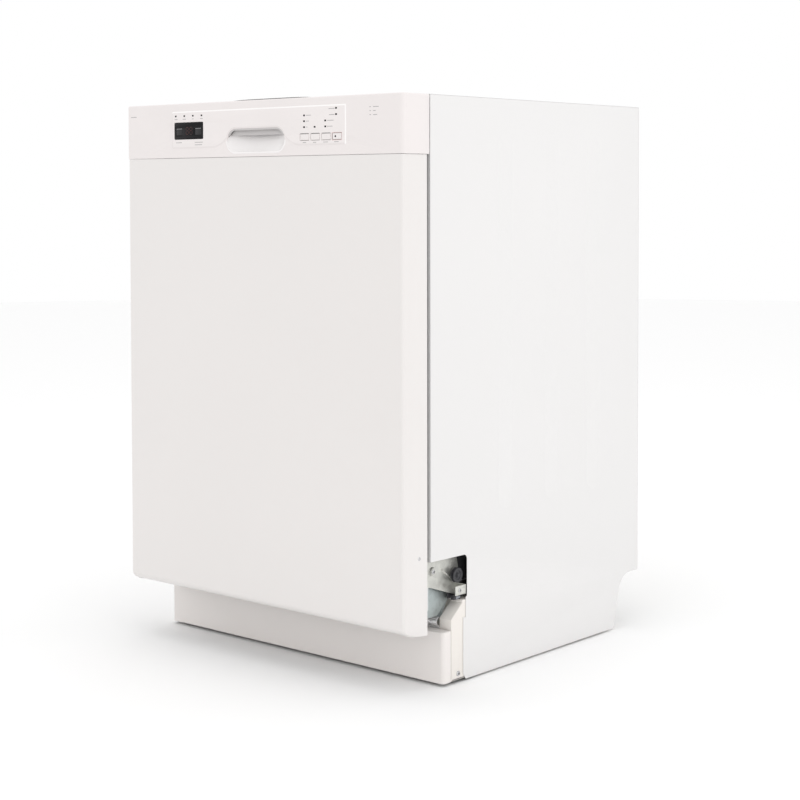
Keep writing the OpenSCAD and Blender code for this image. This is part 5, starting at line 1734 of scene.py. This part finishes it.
def door_liner():
    _, half, _, back, low, high = span("door_liner")
    front = span("door_liner")[2]
    loops = [at_depth(opening(half, low, high, 8, 10), front),
             at_depth(opening(half, low, high, 8, 10), back - 2.4)]
    for i in range(1, 5):
        a = math.radians(90 * i / 4)
        d = 2.4 * (1 - math.cos(a))
        loops.append(at_depth(opening(half - d, low + d, high - d, 7, 9),
                              back - 2.4 + 2.4 * math.sin(a) - 0.02))
    loops.append(at_depth(opening(243, 154, 786, 20, 20), back - 0.02))
    for d, y in ((1, 0.4), (3, 1.8), (5, 3.4), (7, 3.9)):
        loops.append(at_depth(opening(243 - d, 154 + d, 786 - d, 20, 20), back - y))
    skin = thick(loft(loops, cap_end=True), 0.8)
    hole = plate("front", back - 12, back + 6, round_rect(-84.9, 84.9, 345.1, 484.9, 8), [], r=0)
    slot = plate("front", back - 28, back + 6, round_rect(-24, 24, 832.4, 850, 4), [], r=0)
    piece = Piece("door_inner_skin", "door", "tub_steel", "door_liner")
    piece.add(cut(skin, hole, slot), STEEL_Z)
    for z in (210, 730):
        rib = [at_depth(round_rect(-190 + e, 190 - e, z - 7 + e, z + 7 - e, 6 - e * 0.5), back - 3.95 + g)
               for e, g in ((0, 0), (2, 1.2), (4, 1.7))]
        piece.add(loft(rib, cap_end=True), STEEL_Z)
    piece.done()


def dispenser():
    y0 = span("dispenser_body")[2]
    face = -249
    body = block(-84.5, 84.5, y0, face, 345.5, 484.5, 6, 4)
    cup = block(-74, -6, -272, face + 20, 400, 470, 5, 3)
    track = block(-76.2, 76.2, face - 5.2, face + 6, 397.8, 472.2, 2, 2)
    well = rod(19.6, -262, face + 4, (46, 0, 372), "y", 0.2, 48)
    window = block(60, 72, face - 2, face + 4, 352, 362, 0.8)
    piece = Piece("dispenser_housing", "door", "grey_plastic", "dispenser_body")
    piece.add(cut(body, cup, track, well, window), PALE)
    frame_hole = round_rect(-84.2, 84.2, 345.8, 484.2, 6)
    piece.add(plate("front", -252, -250.6, round_rect(-89.4, 89.4, 340.6, 489.4, 10), [frame_hole], r=0.4),
              PALE)
    piece.add(rod(5.9, -264, -254.1, (46, 0, 372), "y", 0.6), PALE)
    piece.add(block(60.4, 71.6, face - 1.6, face - 0.6, 352.4, 361.6, 0.3), GLASS)
    for x in range(-60, 24, 12):
        piece.add(block(x, x + 6, face - 0.4, face + 0.3, 357, 385, 0.3), PALE)
    piece.done()

    piece = Piece("detergent_cover", "detergent_lid", "grey_plastic", "detergent_lid")
    piece.add(block(-75.5, -4, -254, -251, 398.5, 471.5, 1.4, 3), ARM_GREY)
    piece.add(block(-20, -10, -252, -249.2, 410, 460, 1.3, 3), ARM_GREY)
    for i in range(7):
        piece.add(block(-66, -30, -251.4, -250.5, 412 + i * 7, 414.4 + i * 7, 0.4), ARM_GREY)
    piece.done()

    piece = Piece("rinse_knob", "rinse_cap", "cap_blue", "rinse_cap")
    knob = [(0, -253.4), (6.1, -253.4), (6.1, -259.5), (18, -259.5), (19, -258.6), (19, -253), (18, -252),
            (0, -252)]
    piece.add(revolve([(r, y + 252) for r, y in knob], (46, -252, 372), "y", 48), BLUE)
    piece.add(block(30.4, 61.6, -252.8, -249.2, 369, 375, 1.4, 3), BLUE)
    piece.add(block(59, 61.2, -250, -249.2, 371, 373, 0.3), PALE)
    for i in range(20):
        piece.add(turned(block(46 + 18.2, 46 + 18.98, -258, -253, 371.2, 372.8, 0.3), 18 * i, "Y",
                         (46, 0, 372)), BLUE)
    piece.done()


def control_board():
    y = span("control_board")[2] + 2.4
    piece = Piece("circuit_boards", "door", "circuit", "control_board")
    piece.add(block(-190, -100, y, y + 1.6, 800, 848, 0.2), BOARD)
    piece.add(block(84, 196, y, y + 1.6, 800, 858, 0.2), BOARD)
    for x in (-170, -128):
        piece.add(block(x - 3.6, x + 3.6, y - 2.4, y, 822.9, 830.1, 0.5), DARK)
    for i in range(4):
        x = 104.5 + 22 * i
        piece.add(block(x - 3.6, x + 3.6, y - 2.4, y, 807.2, 814.4, 0.5), DARK)
    piece.add(block(90, 190, y + 1.6, y + 20, 836, 852, 1.4), DARK)
    for x in (96, 112, 140, 168):
        piece.add(block(x, x + 9, y + 1.5, y + 8, 806, 822, 0.6), PALE)
        piece.add(rod(3.4, y + 1.5, y + 11, (x + 14, 0, 828), "y", 0.6), DARK)
    piece.done()


def junction_box():
    x0, x1, y0, y1, z0, z1 = span("junction_box")
    piece = Piece("wiring_box", "cabinet", "pump_plastic", "junction_box")
    outer = block(x0, x1, y0, y1, z0, z1, 2, 3)
    inner = block(x0 + 1.5, x1 - 1.5, y0 + 1.5, y1 - 1.5, z0 + 1.5, z1 - 1.5, 1)
    piece.add(cut(outer, inner, rod(11.1, y1 - 6, y1 + 6, ((x0 + x1) / 2, 0, 36), "y", 0, 40)), DARK)
    piece.add(screw_head(x0 + 7, y1, z1 - 8, "y", 2.6), SCREW)
    piece.add(screw_head(x1 - 7, y1, z1 - 8, "y", 2.6), SCREW)
    piece.done()


# ---------- stage ----------


def camera():
    """The picture's own view: level, from the front right, with the frame shifted down."""
    data = bpy.data.cameras.new("camera")
    data.lens = 77.5
    data.sensor_width = 36
    data.shift_y = -0.174
    made = bpy.data.objects.new("camera", data)
    bpy.context.scene.collection.objects.link(made)
    made.location = (1.8915, -2.1521, 0.7281)
    turn, tilt, roll = math.radians(40.93), math.radians(90 - 2.266), math.radians(-0.107)
    facing = Matrix.Rotation(turn, 4, "Z") @ Matrix.Rotation(tilt, 4, "X") @ Matrix.Rotation(roll, 4, "Z")
    made.rotation_euler = facing.to_euler()
    bpy.context.scene.camera = made


def area_light(name, place, target, size, power):
    data = bpy.data.lights.new(name, "AREA")
    data.size = size
    data.energy = power
    made = bpy.data.objects.new(name, data)
    bpy.context.scene.collection.objects.link(made)
    made.location = place
    made.rotation_euler = (Vector(target) - Vector(place)).to_track_quat("-Z", "Y").to_euler()


def studio():
    world = bpy.data.worlds.new("studio")
    world.use_nodes = True
    background = world.node_tree.nodes["Background"]
    background.inputs["Color"].default_value = (1, 1, 1, 1)
    background.inputs["Strength"].default_value = 1.0
    bpy.context.scene.world = world
    bpy.context.scene.view_settings.view_transform = "Standard"
    area_light("right_softbox", (3.2, -0.2, 1.5), (0, 0, 0.45), 2.2, 9)
    area_light("top_softbox", (0.2, -0.2, 3.6), (0, 0, 0), 3.0, 14)
    shape = bmesh.new()
    bmesh.ops.create_circle(shape, cap_ends=True, segments=96, radius=9)
    mesh = bpy.data.meshes.new("floor")
    shape.to_mesh(mesh)
    shape.free()
    mesh.materials.append(FLOOR)
    floor = bpy.data.objects.new("floor", mesh)
    bpy.context.scene.collection.objects.link(floor)


camera()
studio()
door_skin()
fascia()
label_plate()
panel_print_and_painted_shade()
buttons()
display()
handle_bowl()
latch_flap()
top_strip()
door_fasteners()
side_panels()
toe_panel()
cabinet_fasteners()
tub()
tub_gasket()
sound_blanket()
cross_braces()
latch_strike()
hinge_plates()
hinge_arms()
springs_and_pulleys()
base_pan()
front_member()
feet()
valve_and_pumps()
junction_box()
sump_parts()
heater()
water_column()
float_cap()
spray_arms()
upper_rack()
lower_rack()
wheels()
upper_rails()
cup_shelf()
cutlery_basket()
door_liner()
dispenser()
control_board()
